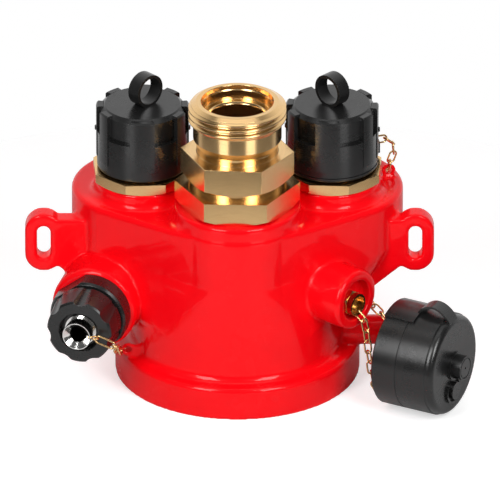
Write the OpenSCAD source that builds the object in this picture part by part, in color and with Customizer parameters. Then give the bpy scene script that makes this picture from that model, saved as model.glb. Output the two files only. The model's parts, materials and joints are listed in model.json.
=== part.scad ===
// Fire department connection: a cast body with three threaded outlets on top,
// a test valve and a ball drip on its sides, two screwed caps and a third cap
// that lies beside it on its chains.
// Millimetres. The origin is the centre of the base's lower face, +Z is up and
// -Y is the front.

/* [Base and neck] */
// Radius of the base rim
rim_r = 98; // [94:1:104]
// Height of the base rim
rim_h = 27; // [22:1:32]
// Radius of the rounded top edge of the rim
rim_round = 4; // [2:0.5:6]
// Outer radius of the neck
neck_r = 86; // [84:1:90]
// Radius of the hollow fillet between rim and neck
neck_fillet = 7; // [4:1:8]
// Radius of the threaded socket in the base
socket_r = 80; // [78:0.5:81]
// Depth of the threaded socket in the base
socket_depth = 22; // [16:1:26]
// Radius of the waterway inside the neck
water_r = 76; // [70:1:77]

/* [Head] */
// Height of the head's flat top above the base
head_z = 149; // [146:1:154]
// Height of the head's upright side wall
head_wall_h = 42; // [36:1:46]
// Height at which the flared underside leaves the neck
flare_z = 60; // [54:1:66]
// Thickness of the casting's walls
wall = 8; // [6:0.5:9]
// Radius of the head's round ends
head_end_r = 65; // [62:1:68]
// Distance of the round ends' centres from the middle
head_end_x = 67.6; // [65:0.5:70]
// Distance of the round ends' centres behind the middle
head_end_y = 29.6; // [26:0.5:32]
// Radius of the head's round front
head_front_r = 61; // [58:1:64]
// Width of the sloped edge round the head's top
head_edge = 2.5; // [1:0.5:4]

/* [Outlets] */
// Height of the outlet bosses above the head's top
boss_rise = 13.4; // [10:0.5:16]
// Distance of the side outlets from the middle
side_x = 75.7; // [74:0.5:78]
// Distance of the side outlets behind the middle
side_y = 15.4; // [12:0.5:18]
// Radius of the side bosses
side_boss_r = 39; // [38:0.5:42]
// Radius of the threaded holes in the side bosses
side_thread_r = 33; // [31:0.5:34]
// Distance of the centre outlet in front of the middle
centre_y = 34.3; // [31:0.5:37]
// Radius of the centre boss
centre_boss_r = 50.7; // [48:0.5:53]
// Radius of the threaded hole in the centre boss
centre_thread_r = 36; // [34:0.5:38]
// Gap all round between a thread and its hole
thread_gap = 0.05; // [0.02:0.01:0.1]
// Gap between parts that move past each other
run_gap = 0.4; // [0.3:0.05:0.6]
// Thickness of the flat seals under the nipples
seal_t = 2; // [1.5:0.5:3]

/* [Side nipples] */
// Width across the flats of the eight-sided collar
side_nut_af = 77; // [74:0.5:79]
// Height of the eight-sided collar
side_nut_h = 9; // [7:0.5:11]
// Turn of the collar on its axis
side_nut_turn = 3.8; // [0:0.2:8]
// Outer radius of the threaded spout under the cap
spout_r = 30; // [28:0.5:31]
// Radius of the waterway through a side nipple
side_bore_r = 23; // [20:0.5:24]
// Length of the nipple below the head's inner ceiling
nipple_tail = 5; // [4:0.5:7]

/* [Centre outlet] */
// Corner radius of the nipple's hexagon
lower_hex_r = 50; // [48:0.5:52]
// Height of the nipple's hexagon
lower_hex_h = 19.1; // [16:0.1:22]
// Radius of the round shoulder above it
shoulder_r = 37.7; // [36:0.1:39]
// Height of the round shoulder
shoulder_h = 4.9; // [3:0.1:7]
// Corner radius of the adaptor's hexagon
upper_hex_r = 45.5; // [44:0.5:47]
// Height of the adaptor's hexagon
upper_hex_h = 22.8; // [20:0.1:25]
// Turn of the adaptor's hexagon on its axis
upper_hex_turn = -5; // [-10:1:10]
// Radius of the adaptor's plain neck
adaptor_neck_r = 35.3; // [34:0.1:36]
// Height of the tapered root under the plain neck
adaptor_root_h = 11; // [8:0.5:13]
// Height of the plain neck
adaptor_neck_h = 17; // [15:0.5:19]
// Crest radius of the outlet's hose thread
hose_thread_r = 39.1; // [38:0.1:40]
// Pitch of the hose thread
hose_pitch = 4.4; // [4:0.1:5]
// Number of thread crests
hose_turns = 3; // [2:1:3]
// Height of the plain lip above the thread
lip_h = 2; // [1:0.5:3]
// Outer radius of the lip
lip_r = 36.7; // [36:0.1:37.5]
// Radius of the outlet's mouth
mouth_r = 28.2; // [27:0.1:29]
// Depth of the outlet's mouth
mouth_depth = 12; // [9:0.5:15]
// Radius of the waterway through adaptor and nipple
centre_bore_r = 22.4; // [20:0.1:23]
// Radius of the nipple's threaded spigot inside the adaptor
spigot_r = 31; // [28:0.5:32]
// Length of the spigot
spigot_h = 17; // [14:0.5:18]

/* [Check flaps] */
// Thickness of a flap
flap_t = 5; // [4:0.5:6]
// Radius of the flap's hinge pin
flap_pin_r = 2; // [1.5:0.25:2.5]
// Gap between a flap and its seat
flap_gap = 0.3; // [0.2:0.1:0.5]
// Gap all round between a hinge pin and its eye
pin_gap = 0.05; // [0.02:0.01:0.1]

/* [Side caps] */
// Height of a cap
cap_h = 53.4; // [50:0.2:56]
// Gap between a cap's edge and the collar below it
cap_gap = 1.2; // [0.8:0.2:2]
// Radius over a cap's grip ribs
cap_r = 37.1; // [36.6:0.1:38]
// Radius of the cap's smooth skirt
cap_skirt_r = 36.4; // [36:0.1:36.5]
// Radius of the recessed panels between the ribs
cap_panel_r = 33.8; // [33:0.1:34.5]
// Radius of the cap's flat top
cap_top_r = 30; // [28:0.5:31]
// Height of the sloped shoulder round the top
cap_slope_h = 3; // [2:0.5:4]
// Height of the skirt
cap_skirt_h = 31.5; // [28:0.5:34]
// Height of the slit above the skirt
cap_slit_h = 2.6; // [2:0.2:3.4]
// Depth of the slit below the panels
cap_slit_depth = 1; // [0.5:0.1:1.2]
// Thickness of the cap's top
cap_roof = 6; // [5:0.5:8]
// Thickness of the seal inside a cap
cap_seal_t = 3.6; // [3:0.1:4]
// Outer radius of the loop on a cap
loop_r = 13.6; // [12:0.1:15]
// Wall of the loop
loop_wall = 2.6; // [2:0.1:3]
// Width of the loop's band
loop_band = 11.3; // [10:0.1:13]
// Turn of the loop about the cap's axis
loop_turn = 44; // [35:1:50]
// Distance of the left cap's loop from its axis, to the right
loop_off = 2.4; // [0:0.2:4]
// Turn of the right cap from the left cap's position
right_cap_turn = -6; // [-10:1:0]

/* [Ears] */
// Distance of the left ear's slot from the middle
left_ear_x = 154.8; // [152:0.2:158]
// Distance of the right ear's slot from the middle
right_ear_x = 142.3; // [141:0.2:146]
// Height of the slots' centre
ear_z = 112.8; // [108:0.2:118]
// Width of an ear
ear_w = 30; // [28:0.5:32]
// Height of an ear
ear_h = 50; // [47:0.5:52]
// Thickness of an ear
ear_t = 16; // [14:0.5:19]
// Width of the slot
slot_w = 10.8; // [9:0.2:12]
// Height of the slot
slot_h = 29; // [26:0.5:31]

/* [Test valve] */
// Distance of the valve boss's face from the middle, to the left
valve_x = 115.3; // [112:0.1:118]
// Distance of the valve boss's face in front of the middle
valve_y = 47; // [45:0.5:50]
// Height of the valve's axis
valve_z = 73; // [71:0.5:75]
// Angle of the valve's axis, outwards from straight ahead
valve_angle = 15; // [12:0.5:18]
// Radius of the valve boss
valve_boss_r = 34.5; // [33:0.5:35.5]
// Radius of the threaded hole in the valve boss
valve_hole_r = 16; // [14:0.5:18]
// Depth of the threaded hole in the valve boss
valve_hole_depth = 42; // [38:1:46]
// Radius of the black bonnet
bonnet_r = 31.2; // [30:0.2:32]
// Length of the black bonnet
bonnet_l = 18.3; // [16:0.1:20]
// Radius over the hand wheel's lobes
wheel_r = 26.6; // [25:0.1:28]
// Length of the hand wheel
wheel_l = 23.6; // [21:0.1:25]
// Depth of the dish in the hand wheel's face
dish_depth = 7; // [5:0.5:9]
// Outer radius of the plated test barrel
barrel_r = 11.4; // [11:0.1:12.5]
// Radius of the barrel's bore
barrel_bore_r = 6.6; // [6:0.1:8]
// Distance that the barrel stands out of the hand wheel
barrel_out = 7.6; // [4:0.2:9]

/* [Ball drip] */
// Direction of the drip boss, to the front from straight right
drip_angle = 33; // [28:1:38]
// Turn of the boss at its face, further to the front
drip_toe = 6; // [0:1:8]
// Distance of the drip boss's face from the body's axis
drip_reach = 114; // [112:0.5:117]
// Height of the drip boss's axis
drip_z = 89; // [87:0.5:91]
// Radius of the drip boss
drip_boss_r = 24.7; // [23:0.1:26]
// Radius of the recess in the drip boss
drip_recess_r = 16.5; // [15:0.5:17.5]
// Depth of the recess in the drip boss
drip_recess_depth = 9; // [8:0.5:12]
// Distance of the drip fitting below the boss's axis
drip_drop = 4; // [3:0.5:4.5]
// Outer radius of the drip fitting's tube
drip_tube_r = 9.2; // [8:0.2:9.6]
// Wall of the drip fitting's tube
drip_tube_wall = 1.8; // [1.4:0.1:2.2]
// Radius of the drip ball
drip_ball_r = 5; // [4:0.2:5.4]
// Travel of the drip ball
drip_travel = 3; // [2:0.5:4]

/* [Loose cap] */
// Radius of the loose cap
loose_r = 41.7; // [41.2:0.1:43]
// Length of the loose cap
loose_l = 54; // [50:0.5:58]
// Wall of the loose cap's skirt
loose_wall = 2.2; // [1.8:0.1:2.4]
// Thickness of the loose cap's closed end
loose_end_t = 6; // [5:0.5:8]
// Place of the loose cap's open end, to the right
loose_x = 125.5; // [124:0.5:132]
// Place of the loose cap's open end, to the front
loose_y = 58.6; // [57:0.5:64]
// Turn of the loose cap's axis, to the front from straight right
loose_angle = 28; // [25:1:31]
// Radius of the stub on its closed end
stub_r = 10; // [9:0.5:11]
// Height of the stub
stub_h = 10; // [8:0.5:12]
// Width of the strap along its top
strap_w = 13; // [11:1:24]
// Thickness of the strap
strap_t = 1.8; // [1.5:0.1:3]

/* [Chains] */
// Diameter of a chain's wire
wire_d = 1.5; // [1.2:0.1:1.6]
// Inside length of a link
link_in = 10.4; // [9.5:0.1:11.5]
// Inside width of a link
link_w = 4.6; // [4.4:0.1:5.2]
// Slack between neighbouring links
link_slack = 0.8; // [0.6:0.05:0.9]

/* [Hidden] */
$fn = 72;

red = "#e0070e";
brass = "#c9a04a";
black = "#1c1c1e";
rubber = "#2b2b2b";
nickel = "#c8c8cc";

// Sides of the shapes inside a hull
hull_fn = 64;
// Overshoot of cutting tools past the faces that they cut
over = 1;
// Turn steps of rounded corners in turned profiles
round_steps = 6;

boss_top = head_z + boss_rise;
ceiling_z = head_z - wall;
side_places = [[-side_x, side_y], [side_x, side_y]];
centre_place = [0, -centre_y];

side_nut_top = boss_top + side_nut_h;
cap_z = side_nut_top + cap_gap;
spout_top = cap_z + cap_h - cap_roof - cap_seal_t;
hex_top = boss_top + lower_hex_h;
shoulder_top = hex_top + shoulder_h;
spigot_top = shoulder_top + spigot_h;
upper_hex_top = shoulder_top + upper_hex_h;
nipple_end_z = ceiling_z - nipple_tail;

// Points of a quarter round about a centre, from one angle to another
function arc(c, r, from, to, n = round_steps) =
    [for (i = [0:n]) let (a = from + (to - from) * i / n) [c.x + r * cos(a), c.y + r * sin(a)]];

// ---------------------------------------------------------------- body

// The three discs that give the head its rounded triangle outline
module head_discs(grow, z, t) {
    for (s = [-1, 1])
        translate([s * head_end_x, head_end_y, z]) cylinder(r = head_end_r + grow, h = t, $fn = hull_fn);
    translate([0, -centre_y, z]) cylinder(r = head_front_r + grow, h = t, $fn = hull_fn);
}

module head_shape() {
    hull() {
        head_discs(0, head_z - head_wall_h, head_wall_h - head_edge);
        head_discs(-head_edge, head_z - head_edge, head_edge);
        translate([0, 0, flare_z - 3]) cylinder(r = neck_r - 0.4, h = 1, $fn = 2 * hull_fn);
    }
}

module head_hollow() {
    hull() {
        head_discs(-wall, head_z - head_wall_h + wall / 2, head_wall_h - wall * 3 / 2);
        translate([0, 0, flare_z - 3]) cylinder(r = water_r + 0.5, h = 1, $fn = 2 * hull_fn);
    }
}

module base_and_neck() {
    rotate_extrude($fn = 120)
        polygon(concat(
            [[0, 0], [rim_r, 0]],
            arc([rim_r - rim_round, rim_h - rim_round], rim_round, 0, 90),
            arc([neck_r + neck_fillet, rim_h + neck_fillet], neck_fillet, 270, 180),
            [[neck_r, flare_z - 2], [neck_r - 1.2, flare_z + 3], [0, flare_z + 3]]));
}

// A boss with a hollow fillet round its foot and a rounded top edge
module boss(r, foot = 6, edge = 2) {
    rotate_extrude()
        polygon(concat(
            [[0, ceiling_z], [r + foot, ceiling_z], [r + foot, head_z]],
            arc([r + foot, head_z + foot], foot, 270, 180),
            arc([r - edge, boss_top - edge], edge, 0, 90),
            [[0, boss_top]]));
}

module slot_shape(w, h) {
    for (s = [-1, 1]) translate([0, s * (h - w) / 2]) circle(d = w);
    square([w, h - w], center = true);
}

// An ear with its slot, and the web that carries it down the flare
module ear(side, x) {
    web_top = ear_h * 0.4;
    web_low = -ear_h * 0.42;
    web_in = x - neck_r + wall;
    translate([side * x, 0, ear_z]) rotate([90, 0, 0])
        linear_extrude(ear_t, center = true)
            difference() {
                union() {
                    slot_shape(ear_w, ear_h);
                    mirror([side > 0 ? 0 : 1, 0])
                        polygon([[0, web_top], [-web_in, web_top],
                                 [-web_in, web_low - 0.85 * (web_in - ear_w * 0.39)],
                                 [-ear_w * 0.39, web_low], [0, web_low]]);
                }
                slot_shape(slot_w, slot_h);
            }
}

// Places its children on the test valve's axis, +Z out of the boss
module on_valve(z = 0) {
    translate([-valve_x, -valve_y, valve_z]) rotate([90, 0, -valve_angle]) translate([0, 0, z]) children();
}

valve_boss_l = 44;
valve_root = [-62, 18];
valve_root_r = 24;

module valve_boss() {
    edge = 4;
    on_valve(-valve_boss_l)
        rotate_extrude()
            polygon(concat([[0, 0], [valve_boss_r, 0]],
                arc([valve_boss_r - edge, valve_boss_l - edge], edge, 0, 90), [[0, valve_boss_l]]));
    hull() {
        on_valve(-valve_boss_l + 5) cylinder(r = valve_boss_r - 1.5, h = 4, $fn = hull_fn);
        translate([valve_root.x, valve_root.y, valve_z - valve_root_r])
            cylinder(r = valve_root_r, h = 2 * valve_root_r + 8, $fn = hull_fn);
    }
}

// Places its children on the drip fitting's axis, +Z out of the boss
module on_drip(z = 0, drop = 0) {
    rotate([0, 0, -drip_angle]) translate([drip_reach, 0, drip_z - drop]) rotate([0, 90, -drip_toe])
        translate([0, 0, z]) children();
}

drip_boss_l = 44;

module drip_boss() {
    edge = 3;
    on_drip(-drip_boss_l)
        rotate_extrude()
            polygon(concat([[0, 0], [drip_boss_r, 0]],
                arc([drip_boss_r - edge, drip_boss_l - edge], edge, 0, 90), [[0, drip_boss_l]]));
}

// A plain blind boss low on the right
blind_boss_r = 12;
blind_boss_x = 122;
blind_boss_y = 10;
blind_boss_z = 37;

module blind_boss() {
    edge = 3;
    inner_x = water_r;
    translate([inner_x, -blind_boss_y, blind_boss_z]) rotate([0, 90, 0])
        rotate_extrude()
            polygon(concat([[0, 0], [blind_boss_r, 0]],
                arc([blind_boss_r - edge, blind_boss_x - inner_x - edge], edge, 0, 90),
                [[0, blind_boss_x - inner_x]]));
}

// Cast eyes that the chains are linked to
lug_r = 5.8;
lug_t = 2.6;
lug_hole_r = 2.7;
wheel_lug = [-0.893 * rim_r, -0.408 * rim_r, rim_h + lug_r + 1.2];
// Depth of the wheel lug's web in the neck
lug_root = 2.6;
wheel_lug_web = -wheel_lug.x - sqrt(neck_r * neck_r - wheel_lug.y * wheel_lug.y) + lug_root;
loose_lug_angle = -16;
loose_lug_toe = 27;
loose_lug_reach = neck_r + 14;
loose_lug_z = 82;
top_lug_angle = 10;
top_lug_out = 0.834 * head_end_r;
top_lug_rise = 6;
// Play between a link's end and the edge of the hole that it hangs in
link_play = 0.75;

module lug(web) {
    rotate([90, 0, 0]) {
        difference() {
            union() {
                cylinder(r = lug_r, h = lug_t, center = true, $fn = 36);
                translate([-web, -lug_r * 0.8, -lug_t / 2]) cube([web, lug_r * 1.6, lug_t]);
            }
            cylinder(r = lug_hole_r, h = lug_t + 2 * over, center = true, $fn = 36);
        }
    }
}

module at_wheel_lug() translate(wheel_lug) children();
module at_loose_lug()
    rotate([0, 0, loose_lug_angle]) translate([loose_lug_reach, 0, loose_lug_z])
        rotate([0, 0, -loose_lug_toe]) children();
module at_top_lug()
    translate([head_end_x, head_end_y, head_z + top_lug_rise]) rotate([0, 0, top_lug_angle])
        translate([top_lug_out, 0, 0]) children();

module lugs() {
    at_wheel_lug() rotate([0, 0, 180]) lug(wheel_lug_web);
    at_loose_lug() lug(12);
    at_top_lug() rotate([0, -90, 0]) lug(9);
}

module thread_hole(place, r) {
    translate([place.x, place.y, ceiling_z - over]) cylinder(r = r, h = boss_top - ceiling_z + 2 * over);
    translate([place.x, place.y, boss_top - seal_t]) cylinder(r = r + seal_w, h = seal_t + over);
}

// Width of the ledge that a nipple's seal lies on
seal_w = 3;

module body() {
    color(red) difference() {
        union() {
            base_and_neck();
            head_shape();
            for (p = side_places) translate([p.x, p.y, 0]) boss(side_boss_r);
            translate([0, -centre_y, 0]) boss(centre_boss_r);
            ear(-1, left_ear_x);
            ear(1, right_ear_x);
            valve_boss();
            drip_boss();
            blind_boss();
            lugs();
        }
        translate([0, 0, -over]) cylinder(r = socket_r, h = socket_depth + over, $fn = 120);
        cylinder(r = water_r, h = flare_z + 1, $fn = 120);
        head_hollow();
        for (p = side_places) thread_hole(p, side_thread_r);
        thread_hole(centre_place, centre_thread_r);
        on_valve(-valve_hole_depth) cylinder(r = valve_hole_r, h = valve_hole_depth + over);
        on_valve(-valve_hole_depth - valve_port_l) cylinder(r = valve_port_r, h = valve_port_l + over);
        on_valve(-valve_hole_depth - valve_port_l + valve_cross_r + 1) rotate([0, 90, 0])
            cylinder(r = valve_cross_r, h = 40);
        on_drip(-drip_recess_depth) cylinder(r = drip_recess_r, h = drip_recess_depth + over);
        on_drip(-drip_boss_l, drip_drop) cylinder(r = drip_shank_r, h = drip_boss_l);
    }
}

valve_port_r = 7;
valve_port_l = 14;
valve_cross_r = 6;

// ---------------------------------------------------------------- nipples

// A prism with chamfered corners, as a nut is turned
module nut(sides, corner_r, h, turn, chamfer_low = true) {
    flat_r = corner_r * cos(180 / sides);
    slope = 0.55;
    cut = (corner_r - flat_r) * slope;
    low = chamfer_low ? cut : 0;
    intersection() {
        rotate([0, 0, turn]) cylinder(r = corner_r, h = h, $fn = sides);
        rotate_extrude()
            polygon([[0, 0], [chamfer_low ? flat_r : corner_r + 1, 0], [corner_r + 1, low + (chamfer_low ? slope : 0)],
                     [corner_r + 1, h - cut - slope], [flat_r, h], [0, h]]);
    }
}

flap_eye_r = flap_pin_r + 2.4;
flap_seat_w = 3;

// Distance of a flap's hinge pin behind the outlet's axis, and its height
function flap_pin_y(thread_r) = thread_r - flap_eye_r - 0.6;
flap_pin_z = nipple_end_z - flap_gap - flap_t / 2;
// Half widths of the flap's arm and of the two ears that hold its pin
flap_arm_w = 5;
flap_ear_w = 4;

// The threaded tail of a nipple with the two ears for its flap's pin
module nipple_tail_shape(thread_r) {
    r = thread_r - thread_gap;
    y = flap_pin_y(thread_r);
    translate([0, 0, nipple_end_z]) cylinder(r = r, h = boss_top - nipple_end_z);
    for (s = [-1, 1])
        translate([s * (flap_arm_w + run_gap + flap_ear_w / 2), y, flap_pin_z]) rotate([0, 90, 0]) {
            cylinder(r = flap_eye_r, h = flap_ear_w, center = true, $fn = 36);
            translate([-flap_eye_r - 2, -flap_eye_r, -flap_ear_w / 2])
                cube([flap_eye_r + 2, 2 * flap_eye_r, flap_ear_w]);
        }
}

module flap_pin_hole(thread_r) {
    translate([0, flap_pin_y(thread_r), flap_pin_z]) rotate([0, 90, 0])
        cylinder(r = flap_pin_r + pin_gap, h = 4 * thread_r, center = true, $fn = 36);
}

module nipple_at(place, thread_r, bore_r) {
    translate([place.x, place.y, 0]) difference() {
        union() {
            nipple_tail_shape(thread_r);
            children();
        }
        translate([0, 0, nipple_end_z - over]) cylinder(r = bore_r, h = spout_top);
        flap_pin_hole(thread_r);
    }
}

module side_nipple(side) {
    corner_r = side_nut_af / 2 / cos(22.5);
    color(brass) nipple_at([side * side_x, side_y], side_thread_r, side_bore_r) {
        translate([0, 0, boss_top]) nut(8, corner_r, side_nut_h, 22.5 - side * side_nut_turn);
        translate([0, 0, side_nut_top - over]) cylinder(r = spout_r, h = spout_top - side_nut_top + over);
    }
}

module centre_nipple() {
    color(brass) nipple_at(centre_place, centre_thread_r, centre_bore_r) {
        translate([0, 0, boss_top]) nut(6, lower_hex_r, lower_hex_h, -2);
        translate([0, 0, hex_top - over]) cylinder(r = shoulder_r, h = shoulder_h + over);
        translate([0, 0, shoulder_top - over]) cylinder(r = spigot_r, h = spigot_h + over);
    }
}

module ring(place, z, outer, inner, h) {
    translate([place.x, place.y, z]) difference() {
        cylinder(r = outer, h = h);
        translate([0, 0, -over]) cylinder(r = inner, h = h + 2 * over);
    }
}

module nipple_seal(place, thread_r) {
    color(rubber) ring(place, boss_top - seal_t, thread_r + seal_w - thread_gap, thread_r + thread_gap, seal_t);
}

// A check flap: a round plate below the nipple's mouth with an arm to its pin
module flap(place, thread_r, bore_r) {
    y = flap_pin_y(thread_r);
    top = nipple_end_z - flap_gap;
    color(brass) translate([place.x, place.y, 0]) difference() {
        union() {
            translate([0, 0, top - flap_t]) cylinder(r = bore_r + flap_seat_w, h = flap_t);
            translate([-flap_arm_w, 0, top - flap_t]) cube([2 * flap_arm_w, y, flap_t]);
            translate([0, y, flap_pin_z]) rotate([0, 90, 0])
                cylinder(r = flap_t / 2, h = 2 * flap_arm_w, center = true, $fn = 36);
        }
        flap_pin_eye_hole(y);
        for (s = [-1, 1])
            translate([s * (flap_arm_w + (flap_ear_w + 2 * run_gap) / 2), y, flap_pin_z])
                cube([flap_ear_w + 2 * run_gap, 2 * flap_eye_r + 3, 2 * flap_eye_r + 3], center = true);
    }
}

module flap_pin_eye_hole(y) {
    translate([0, y, flap_pin_z]) rotate([0, 90, 0])
        cylinder(r = flap_pin_r + pin_gap, h = 3 * flap_arm_w, center = true, $fn = 36);
}

module flap_pin(place, thread_r) {
    half = flap_arm_w + run_gap + flap_ear_w;
    color(nickel) translate([place.x, place.y + flap_pin_y(thread_r), flap_pin_z]) rotate([0, 90, 0])
        cylinder(r = flap_pin_r, h = 2 * half, center = true, $fn = 36);
}

// ---------------------------------------------------------------- centre outlet

adaptor_seal_t = 2.5;
thread_z = upper_hex_top + adaptor_root_h + adaptor_neck_h;
thread_l = hose_turns * hose_pitch;
adaptor_top = thread_z + thread_l + lip_h;
adaptor_root_r = adaptor_neck_r - 3.3;
hose_thread_depth = 1.9;
hose_crest = 1.5;

// Outline of the hose thread: flat crests with sloped flanks, one each pitch
function thread_profile() =
    [for (i = [0:hose_turns - 1], p = [[hose_thread_r - hose_thread_depth, 0],
                                       [hose_thread_r, (hose_pitch - hose_crest) / 2],
                                       [hose_thread_r, (hose_pitch + hose_crest) / 2]])
        [p.x, thread_z + i * hose_pitch + p.y]];

module hose_adaptor() {
    color(brass) translate([0, -centre_y, 0]) difference() {
        union() {
            translate([0, 0, shoulder_top]) nut(6, upper_hex_r, upper_hex_h, upper_hex_turn);
            rotate_extrude()
                polygon(concat(
                    [[0, upper_hex_top - over], [adaptor_root_r, upper_hex_top - over],
                     [adaptor_root_r, upper_hex_top],
                     [adaptor_neck_r, upper_hex_top + adaptor_root_h - 1],
                     [adaptor_neck_r, thread_z - 1],
                     [hose_thread_r - hose_thread_depth, thread_z]],
                    thread_profile(),
                    [[lip_r, thread_z + thread_l], [lip_r, adaptor_top], [0, adaptor_top]]));
        }
        translate([0, 0, shoulder_top - over])
            cylinder(r = spigot_r + thread_gap, h = spigot_h + adaptor_seal_t + over);
        translate([0, 0, spigot_top]) cylinder(r = centre_bore_r, h = adaptor_top - spigot_top + over);
        translate([0, 0, adaptor_top - mouth_depth]) cylinder(r = mouth_r, h = mouth_depth + over);
        for (s = [-1, 1])
            translate([s * centre_bore_r, 0, adaptor_top - mouth_depth - 3])
                cylinder(r = 3.2, h = 3 + over, $fn = 24);
    }
}

module adaptor_seal() {
    color(rubber) ring(centre_place, spigot_top, spigot_r - thread_gap, centre_bore_r + 2, adaptor_seal_t);
}

// ---------------------------------------------------------------- side caps

// Grip ribs of a cap: place and width of each in degrees, from the front one
cap_ribs = [[0, 31], [58, 18], [92, 18], [137, 20], [180, 31], [223, 20], [268, 18], [302, 18]];
cap_nibs = [92, 268];
cap_in_r = spout_r + run_gap;
front_angle = 270;

module cap_shell() {
    edge = 1.6;
    rotate_extrude()
        polygon(concat(
            [[0, 0]],
            arc([cap_skirt_r - edge, edge], edge, 270, 360),
            [[cap_skirt_r, cap_skirt_h], [cap_panel_r - cap_slit_depth, cap_skirt_h],
             [cap_panel_r - cap_slit_depth, cap_skirt_h + cap_slit_h],
             [cap_panel_r, cap_skirt_h + cap_slit_h],
             [cap_panel_r, cap_h - cap_slope_h], [cap_top_r, cap_h], [0, cap_h]]));
}

module cap_rib(angle, width) {
    rib_low = 7;
    rib_top = cap_h - 0.8;
    edge = 1.2;
    core_r = cap_panel_r - 2.4;
    rotate([0, 0, angle - width / 2])
        rotate_extrude(angle = width)
            polygon([[core_r, rib_low], [cap_skirt_r - 0.4, rib_low], [cap_r, rib_low + 3],
                     [cap_r, rib_top - edge], [cap_r - edge, rib_top], [core_r, rib_top]]);
}

module cap_loop() {
    translate([0, 0, cap_h + loop_r - 1.2]) rotate([90, 0, loop_turn])
        difference() {
            cylinder(r = loop_r, h = loop_band, center = true);
            cylinder(r = loop_r - loop_wall, h = loop_band + 2 * over, center = true);
            translate([0, -loop_r - 6, 0]) cube([2 * loop_r, 12, loop_band + 2 * over], center = true);
        }
}

// A screwed cap with its grip ribs, hollow from below, and the loop on top
module side_cap(side, turn, loop_side) {
    color(black) translate([side * side_x, side_y, cap_z]) {
        rotate([0, 0, front_angle + turn]) difference() {
            union() {
                cap_shell();
                for (rib = cap_ribs) cap_rib(rib[0], rib[1]);
                for (a = cap_nibs)
                    rotate([0, 0, a]) translate([cap_r - 1, 0, cap_skirt_h - 1.5])
                        cylinder(r = 2.2, h = 3, $fn = 24);
            }
            translate([0, 0, -over]) cylinder(r = cap_in_r, h = cap_h - cap_roof + over);
            if (side > 0) swivel_groove();
        }
        translate([side < 0 ? loop_off : 0, 0, 0]) mirror([loop_side > 0 ? 0 : 1, 0, 0]) cap_loop();
    }
}

module cap_seal(place) {
    color(rubber)
        ring(place, spout_top, cap_in_r - run_gap / 2, side_bore_r + 2, cap_seal_t);
}

// ---------------------------------------------------------------- test valve

module valve_bonnet() {
    groove = 1.5;
    flat_turn = 127;
    flat_depth = 3.2;
    color(black) on_valve() difference() {
        union() {
            rotate_extrude()
                polygon([[0, 0], [bonnet_r, 0], [bonnet_r, bonnet_l - groove - 2],
                         [bonnet_r - 1.5, bonnet_l - groove], [0, bonnet_l - groove]]);
            translate([0, 0, -bonnet_plug_l]) cylinder(r = valve_hole_r - thread_gap, h = bonnet_plug_l + over);
            cylinder(r = bonnet_neck_r, h = bonnet_l);
        }
        for (a = [0, 180])
            rotate([0, 0, a + flat_turn]) translate([bonnet_r - flat_depth, -bonnet_r, -over])
                cube([2 * flat_depth, 2 * bonnet_r, bonnet_l + 2 * over]);
        translate([0, 0, -bonnet_plug_l - over]) cylinder(r = sleeve_r + run_gap, h = sleeve_room + over);
        translate([0, 0, -bonnet_plug_l]) cylinder(r = barrel_r + thread_gap, h = bonnet_plug_l + bonnet_l + over);
    }
}

bonnet_plug_l = 24;
bonnet_neck_r = 22;
sleeve_r = 13;
sleeve_travel = 3;
sleeve_room = 12;
sleeve_z = -valve_hole_depth + seal_t;
sleeve_gap = 1;
sleeve_l = -bonnet_plug_l + sleeve_room - sleeve_travel - sleeve_gap - sleeve_z;
wheel_z = bonnet_l + run_gap;
wheel_face_z = wheel_z + wheel_l;
barrel_end_z = wheel_face_z + barrel_out;

module valve_seal() {
    color(rubber) on_valve(-valve_hole_depth) difference() {
        cylinder(r = valve_hole_r - thread_gap, h = seal_t);
        translate([0, 0, -over]) cylinder(r = valve_port_r, h = seal_t + 2 * over);
    }
}

module valve_sleeve() {
    color(brass) on_valve(sleeve_z) difference() {
        cylinder(r = sleeve_r, h = sleeve_l);
        translate([0, 0, 3]) cylinder(r = barrel_bore_r, h = sleeve_l);
        for (a = [0:90:270])
            rotate([0, 0, a]) translate([sleeve_r * 0.75, 0, -over]) cylinder(r = 1.5, h = 5, $fn = 20);
    }
}

// The hand wheel: lobes round a dished face, on a straight tapered skirt
module hand_wheel() {
    lobes = 7;
    lobe_turn = 24;
    dent_r = 11;
    dent_back_r = 7;
    dent_depth = 2.8;
    dish_r = 17;
    color(black) on_valve(wheel_z) difference() {
        rotate_extrude()
            polygon([[0, 0], [wheel_r + 2, 0], [wheel_r + 1, wheel_l * 0.45], [wheel_r, wheel_l - 1.5],
                     [wheel_r - 1.5, wheel_l], [0, wheel_l]]);
        for (i = [0:lobes - 1])
            rotate([0, 0, 360 / lobes * (i + 0.5) + 90 + lobe_turn])
                translate([wheel_r + dent_r - dent_depth, 0, -over])
                    cylinder(r1 = dent_back_r, r2 = dent_r, h = wheel_l + 2 * over, $fn = 64);
        translate([0, 0, wheel_l - dish_depth]) rotate_extrude()
            polygon([[0, 0], [dish_r - 2, 0], [dish_r, dish_depth + over], [0, dish_depth + over]]);
        translate([0, 0, -over]) cylinder(r = barrel_r + run_gap, h = wheel_l + 2 * over);
    }
}

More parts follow.
